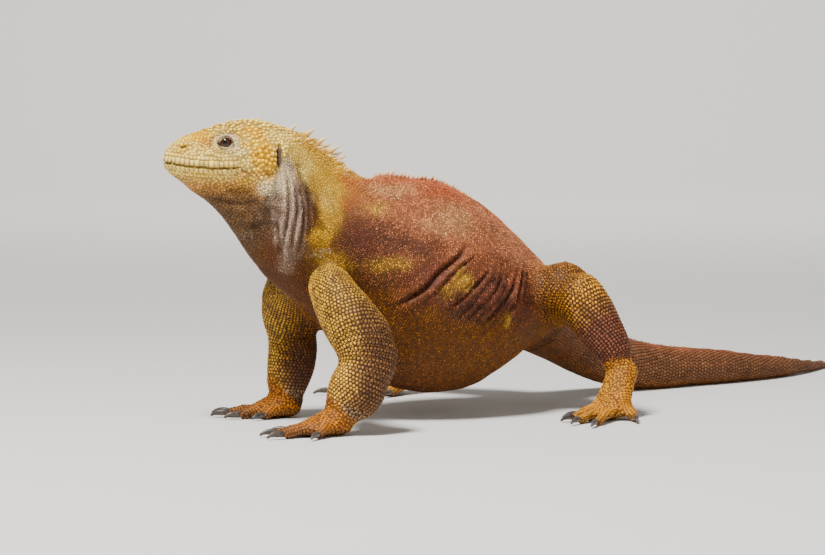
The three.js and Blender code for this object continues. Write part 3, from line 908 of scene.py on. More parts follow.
def hide_colours(hide, terms, twins, folds, regions):
    """The skin's colours: its pattern, with painted shade in folds, hollows and below, and painted
    highlights.
    """
    run, angle = terms
    places = hide.places
    turn = angle / math.pi
    wander = noise(places, 24 * MM, 21) * 0.55 + noise(places, 9 * MM, 22) * 0.3
    turn = turn + wander * 0.05
    fine = noise(places, 4 * MM, 26)
    patchy = noise(places, 11 * MM, 27) * 0.6 + fine * 0.4
    colours = mix(tint("back"), tint("flank"), ramp(turn, 0.3, 0.5))
    colours = mix(colours, tint("belly"), ramp(turn, 0.55, 0.66))
    # Painted shade, darker towards the bottom of the belly.
    colours = mix(colours, tint("dark_patch_and_shade"), ramp(turn, 0.74, 0.98) * 0.45)
    colours = mix(colours, tint("rust"), (1 - ramp(turn, 0.04, 0.16)) * 0.6)
    colours = mix(colours, tint("fleck"), ramp(patchy, 0.25, 0.8) * 0.3 * (1 - ramp(turn, 0.4, 0.6)))
    colours = mix(colours, tint("dark_patch_and_shade"), ramp(-patchy, 0.25, 0.8) * 0.4 * (1 - ramp(turn, 0.4, 0.6)))
    forward = 1 - ramp(run + wander * 0.02, NECK_RUN - 42 * MM, NECK_RUN - 14 * MM)
    nape = mix(tint("yellow"), tint("back"), ramp(patchy, 0.1, 0.6) * 0.7)
    nape = mix(nape, tint("bone"), ramp(-patchy, 0.2, 0.7) * 0.35)
    neck = mix(nape, tint("throat"), ramp(turn, 0.4, 0.54))
    chest = ramp(run + wander * 0.02, NECK_RUN - 48 * MM, NECK_RUN - 16 * MM) * ramp(turn, 0.5, 0.6)
    neck = mix(neck, tint("belly"), chest)
    # Fine vertical streaks on the lower neck: painted shade in the small creases, paler pleat colour between
    # them.
    streaks = noise(places * np.array((1, 1, 0.16)), 2.4 * MM, 25)
    neck = mix(neck, tint("groove_shade"), ramp(streaks, 0.1, 0.8) * ramp(turn, 0.42, 0.6) * (1 - chest) * 0.5)
    neck = mix(neck, tint("pleats"), ramp(-streaks, 0.2, 0.8) * ramp(turn, 0.42, 0.6) * (1 - chest) * 0.3)
    colours = mix(colours, neck, forward)
    tail = mix(tint("tail"), tint("belly"), ramp(turn, 0.6, 0.85) * 0.6)
    tail = mix(tail, tint("rust"), (1 - ramp(turn, 0.1, 0.3)) * 0.2)
    tail = tail * (1 + 0.35 * patchy)[:, None]
    colours = mix(colours, tail, ramp(run + wander * 0.02, HIP_RUN - 40 * MM, HIP_RUN + 10 * MM))

    along, left, height = head_terms(places)
    in_head = np.isin(regions, HEAD_REGIONS).astype(float)[:, None]
    in_head = hide.relax(in_head, 0.5, 6)[:, 0]
    below = mouth_height(along) - height
    head = mix(tint("cream"), tint("lips"), hill(height - mouth_height(along), 7 * MM))
    head = mix(head, tint("jaw"), ramp(below + wander * 3 * MM, 7 * MM, 15 * MM) * 0.8)
    head = mix(head, tint("throat"), ramp(below + wander * 6 * MM, 12 * MM, 27 * MM) * 0.95)
    colours = mix(colours, head, in_head)
    body = ~np.isin(regions, LEG_REGIONS + PAW_REGIONS)
    ragged = noise(places, 15 * MM, 23) * 0.35 + noise(places, 5 * MM, 24) * 0.4
    for name, pixel, width, tall, strength in MARKS:
        gap = spot_gap(hide, pixel, width, tall, twins) + ragged
        colours = mix(colours, tint(name), (1 - ramp(gap, 0.45, 1.3)) * strength * body)
    stripes = noise(places * np.array((1, 1, 0.14)), 2.4 * MM, 35)
    loose = forward * ramp(turn, 0.36, 0.5) * (1 - chest) * (1 - in_head)
    colours = colours * (1 + 0.45 * stripes * loose)[:, None]
    # Painted shade in the fine creases before the thigh, with a painted highlight along their edges.
    creases = wrinkles(hide, twins) * body
    colours = colours * (1 + 0.35 * hill(creases - 0.3, 0.15))[:, None]
    colours = mix(colours, tint("groove_shade"), creases * 0.5)
    # Painted highlight along the ridge beside each fold and painted shade at its bottom.
    for gap, depth, width in folds:
        strong = np.minimum(depth / (2.4 * MM), 1.0)
        colours = colours * (1 + 0.35 * hill(gap - 2.1 * width, width) * strong)[:, None]
        colours = mix(colours, tint("groove_shade"), hill(gap, width * 0.7) * strong * 0.75)
    # Painted shade in the mouth line, nostrils and ear hollows, at the rim of the lids and in the fold round
    # them.
    lips = hill(height - mouth_height(along), 0.9 * MM) * in_head * ramp(along, 28 * MM, 34 * MM)
    rims = lid_ring(places)
    for share in (lips, hill(nostril_gap(places), 2.1 * MM), 1 - ramp(ear_gap(places), 0.6, 1.15),
                  hill(rims - 1.05, 0.16), hill(rims - 2.35, 0.18) * 0.45):
        colours = mix(colours, tint("groove_shade"), share * 0.9)
    legs = leg_colours(places, regions)
    colours[~body] = legs[~body]
    blend = hide.relax(np.hstack([colours, body[:, None].astype(float)]), 0.6, 40)
    join = hill(blend[:, 3] - 0.5, 0.42)
    return mix(colours, blend[:, :3], join)


def skin_mesh():
    """The skin before its folds: the flesh made one, smoothed, without the spines of the solids."""
    bm = bmesh.new()
    joined_flesh(bm)
    mesh = bpy.data.meshes.new("flesh")
    bm.to_mesh(mesh)
    bm.free()
    mesh = remeshed(mesh, skin_sizes().grain)
    bm = bmesh.new()
    bm.from_mesh(mesh)
    drop_islands(bm)
    bm.to_mesh(mesh)
    bm.free()
    hide = Hide(mesh)
    full = hide.relax(hide.places, 0.5, 2, back=PUSH_BACK)
    regions = regions_of(hide.places)
    run, left, up, nearest = BODY_PATH.locate(hide.places)
    aside = left - ridge_aside(run)
    bins, ridge = ridge_heights(run, aside, up, regions)
    limbs = np.isin(regions, LEG_REGIONS + PAW_REGIONS)
    crest = (run > EAR_RUN - 15 * MM) & (np.abs(aside) < CREST_HALF_WIDTH) & (up > 0) & ~limbs
    excess = np.maximum(up - np.interp(run, bins, ridge) - RIDGE_SLACK, 0) * crest
    hide.places -= BODY_PATH.up[nearest] * excess[:, None]
    soft = hide.relax(crest.astype(float)[:, None], 0.5, 4)[:, 0]
    hide.places = hide.relax(hide.places, 0.5, 12, back=PUSH_BACK)
    hide.places = hide.relax(hide.places, soft * 0.5, 12)
    joint = hill(hide.relax(limbs.astype(float)[:, None], 0.6, 10)[:, 0] - 0.5, 0.36)
    hide.places = hide.relax(hide.places, joint * 0.5, 50)
    paws = hide.relax(np.isin(regions, PAW_REGIONS).astype(float)[:, None], 0.5, 4)[:, 0]
    hide.places = mix(hide.places, full, ramp(paws, 0.3, 0.9))
    mesh.vertices.foreach_set("co", hide.places.ravel())
    mesh.update()
    smooth_hide = Hide(mesh)

    def near_fold(places):
        twins = left_twin(places)
        folds = PLEATS + [fold[0] for fold in FLANK_FOLDS]
        gaps = np.min([stroke_gap(smooth_hide, pixels, twins)[0] for pixels in folds], axis=0)
        return (gaps < 6 * MM) | (spot_gap(smooth_hide, *WRINKLED, twins) < 1.0)

    bm = bmesh.new()
    bm.from_mesh(mesh)
    for inside in (near_fold, near_head, near_paw, near_eye, near_lid):
        divide(bm, inside)
    bm.normal_update()
    bm.to_mesh(mesh)
    bm.free()
    return mesh


def object_of(name, mesh):
    piece = bpy.data.objects.new(name, mesh)
    bpy.context.scene.collection.objects.link(piece)
    return piece


def smooth_mesh(name, bm):
    """The finished mesh of a bmesh, shaded smooth."""
    mesh = bpy.data.meshes.new(name)
    bm.to_mesh(mesh)
    bm.free()
    for face in mesh.polygons:
        face.use_smooth = True
    return mesh


def unwrap(piece):
    """Unwraps the skin over its own shape, for the bake."""
    bpy.context.view_layer.objects.active = piece
    piece.select_set(True)
    piece.data.uv_layers.new(name="OFBake")
    bpy.ops.object.mode_set(mode="EDIT")
    bpy.ops.mesh.select_all(action="SELECT")
    bpy.ops.uv.smart_project(angle_limit=math.radians(66), island_margin=0.001)
    bpy.ops.object.mode_set(mode="OBJECT")
    piece.select_set(False)


def paint(mesh, colours):
    """Stores a colour for each vertex under the name that the materials read."""
    attribute = mesh.color_attributes.new("markings", "FLOAT_COLOR", "POINT")
    rgba = np.ones((len(mesh.vertices), 4))
    rgba[:, :3] = np.clip(colours, 0, 1)
    attribute.data.foreach_set("color", rgba.ravel())


# Materials

def principled(name, roughness, specular=0.5):
    material = bpy.data.materials.new(name)
    material.use_nodes = True
    shader = material.node_tree.nodes["Principled BSDF"]
    shader.inputs["Roughness"].default_value = roughness
    shader.inputs["Specular IOR Level"].default_value = specular
    return material, material.node_tree, shader


def object_noise(tree, scale, detail):
    """A noise texture on Object coordinates."""
    where = tree.nodes.new("ShaderNodeTexCoord")
    texture = tree.nodes.new("ShaderNodeTexNoise")
    texture.inputs["Scale"].default_value = scale
    texture.inputs["Detail"].default_value = detail
    tree.links.new(where.outputs["Object"], texture.inputs["Vector"])
    return texture


def painted_material(name, roughness, grain, depth, contrast):
    """Reads the vertex colours, painted shade included, with fine dust and pores in object space."""
    material, tree, shader = principled(name, roughness, 0.2)
    nodes, links = tree.nodes, tree.links
    marks = nodes.new("ShaderNodeAttribute")
    marks.attribute_name = "markings"
    dust = object_noise(tree, 1 / grain, 5)
    dust.inputs["Roughness"].default_value = 0.65
    span = nodes.new("ShaderNodeMapRange")
    span.inputs["From Min"].default_value = 0.3
    span.inputs["From Max"].default_value = 0.7
    span.inputs["To Min"].default_value = 1 - contrast
    span.inputs["To Max"].default_value = 1 + contrast
    links.new(dust.outputs["Fac"], span.inputs["Value"])
    blend = nodes.new("ShaderNodeVectorMath")
    blend.operation = "SCALE"
    links.new(marks.outputs["Color"], blend.inputs[0])
    links.new(span.outputs["Result"], blend.inputs["Scale"])
    links.new(blend.outputs["Vector"], shader.inputs["Base Color"])
    gloss = nodes.new("ShaderNodeMapRange")
    gloss.inputs["To Min"].default_value = roughness - 0.12
    gloss.inputs["To Max"].default_value = roughness + 0.15
    links.new(dust.outputs["Fac"], gloss.inputs["Value"])
    links.new(gloss.outputs["Result"], shader.inputs["Roughness"])
    relief = nodes.new("ShaderNodeBump")
    relief.inputs["Strength"].default_value = 0.5
    relief.inputs["Distance"].default_value = depth
    links.new(dust.outputs["Fac"], relief.inputs["Height"])
    links.new(relief.outputs["Normal"], shader.inputs["Normal"])
    return material


def ride(piece):
    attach(piece, "root")


class IGUANA_OT_skin(Operator):
    """Makes the one skin that stands for all flesh solids"""
    bl_idname = "iguana.skin"
    bl_label = "Skin"

    def execute(self, context):
        mesh = skin_mesh()
        hide = Hide(mesh)
        regions = regions_of(hide.places)
        terms = body_terms(hide.places)
        twins = left_twin(hide.places)
        folds = fold_gaps(hide, twins)
        move = sculpt(hide, twins, folds, regions)
        colours = hide_colours(hide, terms, twins, folds, regions)
        places = open_lids(hide, hide.places + hide.normals * move[:, None])
        places[:, 2] = np.maximum(places[:, 2], FLOOR_GAP)
        mesh.vertices.foreach_set("co", places.ravel())
        mesh.update()
        piece = object_of("skin", mesh)
        for face in mesh.polygons:
            face.use_smooth = True
        unwrap(piece)
        hide = Hide(mesh)
        hide.regions = regions
        hide.terms = terms
        hide.colours = colours
        hide.flow = flow_over(hide, regions)
        uv = np.zeros(len(mesh.loops) * 2)
        mesh.uv_layers["OFBake"].data.foreach_get("uv", uv)
        starts = np.array([face.loop_start for face in mesh.polygons])
        hide.face_uv = uv.reshape(-1, 2)[starts]
        made["hide"] = hide
        legs = np.isin(regions, LEG_REGIONS).astype(float)
        paws = np.isin(regions, PAW_REGIONS).astype(float)
        share = hide.relax((legs * 0.85 + paws * 0.4)[:, None], 0.5, 5)[:, 0]
        shown = mix(colours * 0.42, tint("gap"), share)
        paint(mesh, shown)
        mesh.materials.append(painted_material("iguana_skin", 0.62, 3 * MM, 0.5 * MM, 0.22))
        ride(piece)
        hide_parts(*FLESH)
        return {"FINISHED"}


# Scales

RIM_HEIGHT = 0.62
SUNK = 0.3
LEAST_HEIGHT = 0.05 * MM
PATCH = 0.0015
ROOT_PARTS = ("places", "vertices", "faces", "size")


def shape_of(bm):
    """The corners and faces of a small shape that is planted many times."""
    bm.verts.ensure_lookup_table()
    shape = (np.array([v.co[:] for v in bm.verts]), [[v.index for v in f.verts] for f in bm.faces])
    bm.free()
    return shape


def dome(sides, rim, lean=0.0):
    """One scale: a low dome sunk a little into the skin, its top drawn back by the lean."""
    bm = bmesh.new()
    bmesh.ops.create_circle(bm, cap_ends=True, segments=sides, radius=1.0)
    turn = Matrix.Rotation(math.pi / sides, 3, "Z")
    bmesh.ops.rotate(bm, verts=bm.verts, cent=(0, 0, 0), matrix=turn)
    base = bm.faces[:]
    top = base[0]
    if rim:
        grown = bmesh.ops.extrude_face_region(bm, geom=[top])
        verts = [g for g in grown["geom"] if isinstance(g, bmesh.types.BMVert)]
        top = [g for g in grown["geom"] if isinstance(g, bmesh.types.BMFace)][0]
        bmesh.ops.scale(bm, verts=verts, vec=(rim, rim, 1))
        bmesh.ops.translate(bm, verts=verts, vec=(lean * 0.3, 0, RIM_HEIGHT))
    grown = bmesh.ops.extrude_face_region(bm, geom=[top])
    verts = [g for g in grown["geom"] if isinstance(g, bmesh.types.BMVert)]
    bmesh.ops.translate(bm, verts=verts, vec=(lean, 0, 1 - RIM_HEIGHT if rim else 1))
    bmesh.ops.pointmerge(bm, verts=verts, merge_co=sum((v.co for v in verts), Vector()) / len(verts))
    lowest = min(v.co.z for v in bm.verts)
    if not any(len(f.verts) == sides and all(abs(v.co.z - lowest) < 1e-6 for v in f.verts) for f in bm.faces):
        rim_verts = [v for v in bm.verts if abs(v.co.z - lowest) < 1e-6]
        bmesh.ops.contextual_create(bm, geom=rim_verts)
    bmesh.ops.translate(bm, verts=bm.verts, vec=(0, 0, -SUNK))
    bmesh.ops.recalc_face_normals(bm, faces=bm.faces)
    return shape_of(bm)


class Roots:
    """Where scales grow, how large they are and how they are tinted."""

    def __init__(self, hide, places, size):
        self.places, self.vertices, self.faces = hide.nearest(places)
        self.size = np.broadcast_to(size, len(places)).astype(float)

    def keep(self, mask):
        for name in ROOT_PARTS:
            setattr(self, name, getattr(self, name)[mask])
        return self

    def pick(self, mask):
        """Some of the roots, as new ones."""
        return copy.copy(self).keep(mask)

    @staticmethod
    def joined(parts):
        first = parts[0]
        for name in ROOT_PARTS:
            setattr(first, name, np.concatenate([getattr(part, name) for part in parts]))
        return first


def ring_places(hide, path, runs, spacings, rays, reach, stagger=True):
    """Places in rings round a path, evenly spaced on the skin and staggered, with each place's spacing."""
    turns = np.linspace(0, 2 * math.pi, rays, endpoint=False)
    places, gaps = [], []
    for number, (run, spacing) in enumerate(zip(runs, np.broadcast_to(spacings, len(runs)))):
        middle_point, ahead, left, up = path.at(run)
        ring = []
        for turn in turns:
            aim = Vector(up * math.cos(turn) + left * math.sin(turn))
            spot = hide.tree.ray_cast(Vector(middle_point), aim, reach)[0]
            ring.append(spot if spot is not None else Vector((math.nan,) * 3))
        ring = np.array(ring + ring[:1])
        around = run_along(ring)
        count = max(3, int(round(around[-1] / spacing)))
        offset = 0.5 * (number % 2) if stagger else 0
        places.append(points_at((np.arange(count) + offset) * around[-1] / count, around, ring))
        gaps.append(np.full(count, spacing))
    places, gaps = np.vstack(places), np.concatenate(gaps)
    found = ~np.isnan(places).any(axis=1)
    return places[found], gaps[found]


def graded(start, stop, first, last, over):
    """Rings from start to stop whose scales grow from the first size to the last over a length."""
    runs, sizes = [start], [first]
    while runs[-1] < stop:
        runs.append(runs[-1] + sizes[-1] * 0.84)
        sizes.append(first + (last - first) * float(ramp(runs[-1], start, start + over)))
    return np.array(runs), np.array(sizes)


def spread(places, gaps, taken=None, taken_gaps=None):
    """Marks the places that keep their gap from all that are taken before them."""
    cell = float(max(gaps.max(), 0.5 * MM))
    grid = {}

    def put(place, gap):
        key = (int(place[0] // cell), int(place[1] // cell), int(place[2] // cell))
        grid.setdefault(key, []).append((place[0], place[1], place[2], gap))

    if taken is not None:
        for place, gap in zip(taken.tolist(), taken_gaps.tolist()):
            put(place, gap)
    keep = np.zeros(len(places), dtype=bool)
    around = list(itertools.product((-1, 0, 1), repeat=3))
    for number, (place, gap) in enumerate(zip(places.tolist(), gaps.tolist())):
        x, y, z = place
        i, j, k = int(x // cell), int(y // cell), int(z // cell)
        free = True
        for a, b, c in around:
            for px, py, pz, other in grid.get((i + a, j + b, k + c), ()):
                if (px - x) ** 2 + (py - y) ** 2 + (pz - z) ** 2 < ((gap + other) / 2) ** 2:
                    free = False
                    break
            if not free:
                break
        if free:
            keep[number] = True
            put(place, gap)
    return keep


def random_places(hide, regions, spacing, seed):
    """Random places on the faces of some regions, several to each scale."""
    draw = np.random.default_rng(seed)
    triangles = np.array([(f[0], f[i], f[i + 1]) for f in hide.faces for i in range(1, len(f) - 1)
                          if hide.regions[f[0]] in regions])
    a, b, c = (hide.places[triangles[:, k]] for k in range(3))
    area = np.linalg.norm(np.cross(b - a, c - a), axis=1) / 2
    count = int(area.sum() / spacing ** 2 * 5)
    chosen = draw.choice(len(area), count, p=area / area.sum())
    u, v = draw.random((2, count))
    over = u + v > 1
    u[over], v[over] = 1 - u[over], 1 - v[over]
    return a[chosen] + (b[chosen] - a[chosen]) * u[:, None] + (c[chosen] - a[chosen]) * v[:, None]


def plant(name, hide, roots, shape, wide, tall, colours, material, flow=None):
    """Joins one copy of the shape for each root into one mesh."""
    corners_of, faces = shape
    count = len(roots.places)
    normals = hide.normals[roots.vertices]
    along = hide.flow[roots.vertices] if flow is None else flow
    along = unit(along - normals * (along * normals).sum(1)[:, None])
    across = np.cross(normals, along)
    size = roots.size[:, None, None]
    places = roots.places[:, None] + size * (
        along[:, None] * corners_of[None, :, :1] * wide[0]
        + across[:, None] * corners_of[None, :, 1:2] * wide[1]
        + normals[:, None] * corners_of[None, :, 2:] * np.asarray(tall).reshape(-1, 1, 1))
    places = places.reshape(-1, 3)
    places[:, 2] = np.maximum(places[:, 2], LEAST_HEIGHT)
    per = len(corners_of)
    sizes = np.array([len(face) for face in faces])
    loops = np.concatenate([np.array(face) for face in faces])
    all_loops = (loops[None] + np.arange(count)[:, None] * per).ravel()
    mesh = bpy.data.meshes.new(name)
    mesh.vertices.add(count * per)
    mesh.vertices.foreach_set("co", places.ravel())
    mesh.loops.add(len(all_loops))
    mesh.loops.foreach_set("vertex_index", all_loops)
    mesh.polygons.add(count * len(faces))
    totals = np.tile(sizes, count)
    mesh.polygons.foreach_set("loop_start", np.concatenate([[0], np.cumsum(totals)[:-1]]))
    mesh.polygons.foreach_set("use_smooth", np.ones(len(totals), dtype=bool))
    mesh.update(calc_edges=True)
    uv_layer = mesh.uv_layers.new(name="OFBake")
    flat = corners_of[:, :2] / np.abs(corners_of[:, :2]).max() * PATCH
    uv = hide.face_uv[roots.faces][:, None] + flat[loops][None]
    uv_layer.data.foreach_set("uv", uv.ravel())
    paint(mesh, colours)
    mesh.materials.append(material)
    ride(object_of(name, mesh))


def speckle(hide, roots, shape, seed, spread_of, pale, dark, edge, stray=0):
    """A colour for each corner of each scale: the skin's colour there, with a painted highlight on top and
    painted shade at the rim.
    """
    draw = np.random.default_rng(seed)
    count = len(roots.places)
    strays = hide.nearest(roots.places + draw.normal(0, stray, (count, 3)))[1] if stray else roots.vertices
    ground = hide.colours[strays]
    shade = np.exp(draw.normal(0, spread_of, count) + noise(roots.places, 7 * MM, seed) * 0.12)
    ground = ground * shade[:, None]
    ground = ground * np.exp(noise(roots.places, 3.2 * MM, seed + 7) * spread_of)[:, None]
    luck = draw.random(count)
    ground = ground * np.where(luck < pale[0], 1 + pale[1], 1)[:, None]
    ground = mix(ground, tint("gap"), (luck > 1 - dark[0]) * dark[1])
    # Painted highlight on the scale's top and painted shade at its rim; edge is the share of light left at
    # the rim.
    lift = shape[0][:, 2]
    lift = (lift - lift.min()) / (lift.max() - lift.min())
    shading = edge + (1.08 - edge) * lift
    return (ground[:, None] * shading[None, :, None]).reshape(-1, 3)


def trunk_rows(hide, spacing):
    """Roots in slightly uneven rows round the trunk."""
    runs = np.arange(NECK_RUN - 30 * MM, HIP_RUN + 20 * MM, spacing * 0.86)
    places, _ = ring_places(hide, BODY_PATH, runs, spacing, 120, 0.14)
    draw = np.random.default_rng(41)
    places = places + draw.normal(0, 1, places.shape) * spacing * 0.13
    roots = Roots(hide, places, spacing)
    return roots.keep(np.isin(hide.regions[roots.vertices], TRUNK_REGIONS))


def filled(hide, roots, regions, spacing, seed, small=0):
    """Prunes crowded roots and fills the bare places between them, the last gaps with small scales."""
    extra = Roots(hide, random_places(hide, regions, spacing, seed), spacing)
    if roots is None:
        extra.keep(spread(extra.places, extra.size * 0.86))
        roots = extra
    else:
        roots.keep(spread(roots.places, roots.size * 0.72))
        extra.keep(spread(extra.places, extra.size * 0.86, roots.places, roots.size * 0.86))
        roots = Roots.joined([roots, extra])
    if small:
        extra = Roots(hide, random_places(hide, regions, small, seed + 500), small)
        extra.keep(spread(extra.places, extra.size * 0.9, roots.places, roots.size * 1.05))
        roots = Roots.joined([roots, extra])
    return roots


def scale_material():
    if "iguana_scales" not in bpy.data.materials:
        painted_material("iguana_scales", 0.5, 1.2 * MM, 0.15 * MM, 0.14)
    return bpy.data.materials["iguana_scales"]


class IGUANA_OT_trunk_scales(Operator):
    """Covers the trunk with rows of fine granules"""
    bl_idname = "iguana.trunk_scales"
    bl_label = "Trunk scales"

    def execute(self, context):
        hide = made["hide"]
        spacing = scale_sizes().trunk
        shape = dome(6, 0)
        roots = trunk_rows(hide, spacing)
        roots = filled(hide, roots, TRUNK_REGIONS, spacing, 42)
        run = hide.terms[0][roots.vertices]
        parts = {"shoulder_scales": run < WAIST_RUN - 45 * MM,
                 "flank_scales": (run >= WAIST_RUN - 45 * MM) & (run < WAIST_RUN + 40 * MM),
                 "hip_scales": run >= WAIST_RUN + 40 * MM}
        for number, (name, mask) in enumerate(parts.items()):
            part = roots.pick(mask)
            colours = speckle(hide, part, shape, 43 + number, 0.32, (0.22, 0.6), (0.26, 0.6), 0.55, 1.6 * MM)
            plant(name, hide, part, shape, (0.58, 0.58), 0.36, colours, scale_material())
        return {"FINISHED"}


class IGUANA_OT_neck_scales(Operator):
    """Covers neck and throat with small granules"""
    bl_idname = "iguana.neck_scales"
    bl_label = "Neck scales"

    def execute(self, context):
        hide = made["hide"]
        spacing = scale_sizes().neck
        shape = dome(6, 0)
        roots = filled(hide, None, [REGION["neck"]], spacing, 51)
        roots.keep(ear_gap(roots.places) > 1.0)
        colours = speckle(hide, roots, shape, 52, 0.18, (0.1, 0.3), (0.16, 0.35), 0.62, 0.8 * MM)
        nape = (1 - ramp(hide.terms[1][roots.vertices] / math.pi, 0.2, 0.36))
        tall = 0.34 + nape * np.random.default_rng(53).uniform(0.0, 1.5, len(roots.places))
        plant("neck_scales", hide, roots, shape, (0.58, 0.54), tall, colours, scale_material())
        return {"FINISHED"}


class IGUANA_OT_leg_scales(Operator):
    """Sets rows of domed scales round arms, thighs and shins"""
    bl_idname = "iguana.leg_scales"
    bl_label = "Leg scales"

    def execute(self, context):
        hide = made["hide"]
        sizes = scale_sizes()
        shape = dome(6, 0.76, 0.14)
        for number, (upper, lower, paw) in enumerate(LIMBS):
            path = LEG_PATHS[upper]
            regions = [REGION[upper], REGION[lower]]
            runs, gaps = graded(-16 * MM, path.run[-1] + 10 * MM, sizes.shoulder, sizes.leg, 52 * MM)
            places, gaps = ring_places(hide, path, runs, gaps, 64, 0.05)
            places = places + np.random.default_rng(57 + number).normal(0, 0.05, places.shape) * gaps[:, None]
            roots = Roots(hide, places, gaps)
            roots.keep(np.isin(hide.regions[roots.vertices], regions))
            roots = filled(hide, roots, regions, sizes.shoulder, 61 + number, small=1.3 * MM)
            colours = speckle(hide, roots, shape, 65 + number, 0.16, (0.14, 0.25), (0.1, 0.5), 0.45, 1.2 * MM)
            name = f"{upper.replace('upper_', '')}_scales"
            plant(name, hide, roots, shape, (0.46, 0.44), 0.27, colours, scale_material())
        return {"FINISHED"}


class IGUANA_OT_tail_scales(Operator):
    """Sets rings of keeled scales round the tail"""
    bl_idname = "iguana.tail_scales"
    bl_label = "Tail scales"

    def execute(self, context):
        hide = made["hide"]
        pitch = scale_sizes().tail
        shape = dome(4, 0.8, 0.35)
        runs = np.arange(HIP_RUN - 25 * MM, END_RUN - 2 * MM, pitch)
        roots = Roots(hide, ring_places(hide, BODY_PATH, runs, pitch * 0.85, 72, 0.07)[0], pitch)
        roots.keep(np.isin(hide.regions[roots.vertices], TAIL_REGIONS))
        roots.size = roots.size * np.interp(hide.terms[0][roots.vertices], [HIP_RUN, END_RUN], [1.0, 0.72])
        roots = filled(hide, roots, TAIL_REGIONS, pitch * 0.9, 71)
        colours = speckle(hide, roots, shape, 72, 0.12, (0.08, 0.3), (0.08, 0.3), 0.5)
        plant("tail_scales", hide, roots, shape, (0.72, 0.62), 0.3, colours, scale_material())
        return {"FINISHED"}


class IGUANA_OT_paw_scales(Operator):
    """Covers hands and feet, with cross scutes on the digits"""
    bl_idname = "iguana.paw_scales"
    bl_label = "Hand and foot scales"

    def execute(self, context):
        hide = made["hide"]
        sizes = scale_sizes()
        shape = dome(6, 0.76, 0.15)
        bands = []
        for paw in PAWS:
            for heel, tip in DIGITS[paw]:
                path = digit_path(hide, heel, tip)
                runs = np.arange(0, path.run[-1], sizes.scute)
                places, gaps = ring_places(hide, path, runs, sizes.scute * 1.25, 24, 9 * MM, False)
                bands.append(Roots(hide, places, gaps / 1.25))
        bands = Roots.joined(bands)
        bands.keep(np.isin(hide.regions[bands.vertices], PAW_REGIONS) & (bands.places[:, 2] > 1 * MM))
        bands.keep(spread(bands.places, bands.size * 0.8))
        colours = speckle(hide, bands, shape, 83, 0.08, (0.1, 0.25), (0.06, 0.3), 0.45)
        plant("digit_scutes", hide, bands, shape, (0.56, 0.72), 0.3, colours, scale_material())
        roots = Roots(hide, random_places(hide, PAW_REGIONS, sizes.paw, 81), sizes.paw)
        roots.keep(spread(roots.places, roots.size * 0.86, bands.places, bands.size * 0.9))
        colours = speckle(hide, roots, shape, 82, 0.12, (0.1, 0.25), (0.08, 0.3), 0.5)
        plant("paw_scales", hide, roots, shape, (0.54, 0.56), 0.3, colours, scale_material())
        return {"FINISHED"}


DIGIT_RADIUS = 3.4 * MM
OVER_DIGITS = 45 * MM
LIP_MIDDLE, LIP_REAR = 58 * MM, 31 * MM
LIP_BAND = 4.8 * MM


def digit_path(hide, heel, tip):
    """A line inside a digit, a little under its upper side, out to the claw."""
    stops = []
    for part in np.linspace(0.4, 0.97, 7):
        over = heel + (tip - heel) * part
        spot = hide.tree.ray_cast(Vector((over[0], over[1], OVER_DIGITS)), Vector(-UP))[0]
        if spot is not None:
            stops.append(np.array(spot) - UP * DIGIT_RADIUS)
    return Path(stops, 1.5 * MM)


def lip_roots(hide, rise, spacing):
    """Roots in a row along the mouth, a rise above or below its line, on both sides."""
    middle_point = on_head(LIP_MIDDLE, 0, 0)
    ring = []
    for turn in np.linspace(-2.5, 2.5, 160):
        aim = FACING * math.cos(turn) + HEAD_LEFT * math.sin(turn)
        along = LIP_MIDDLE
        for _ in range(3):
            start = middle_point + UP * (mouth_height(along) + rise)
            spot = hide.tree.ray_cast(Vector(start), Vector(aim), 0.08)[0]
            along = float((np.array(spot) - EAR_LINE) @ FACING)
        ring.append(spot)
    ring = np.array(ring)
    ring = ring[(ring - EAR_LINE) @ FACING > LIP_REAR]
    around = run_along(ring)
    return Roots(hide, points_at(np.arange(0, around[-1], spacing), around, ring), spacing)


def lid_roots(hide, side, factor, spacing):
    """Roots in a ring round an eye's opening."""
    sizes = skin_sizes()
    places = []
    for turn in np.linspace(0, 2 * math.pi, 160, endpoint=False):
        ahead, above = math.cos(turn) * factor, math.sin(turn) * factor
        flat = FACING * ahead * sizes.eye_width / 2 + UP * above * sizes.eye_height / 2
        lift = math.sqrt(max((EYE_RADIUS + sizes.lid) ** 2 - float(flat @ flat), 0.0))
        places.append(EYE_PLACES[side] + flat + OUTWARD[side] * lift)
    ring = np.array(places + places[:1])
    around = run_along(ring)
    wanted = np.arange(0, around[-1], around[-1] / round(around[-1] / spacing))
    return Roots(hide, points_at(wanted, around, ring), spacing)


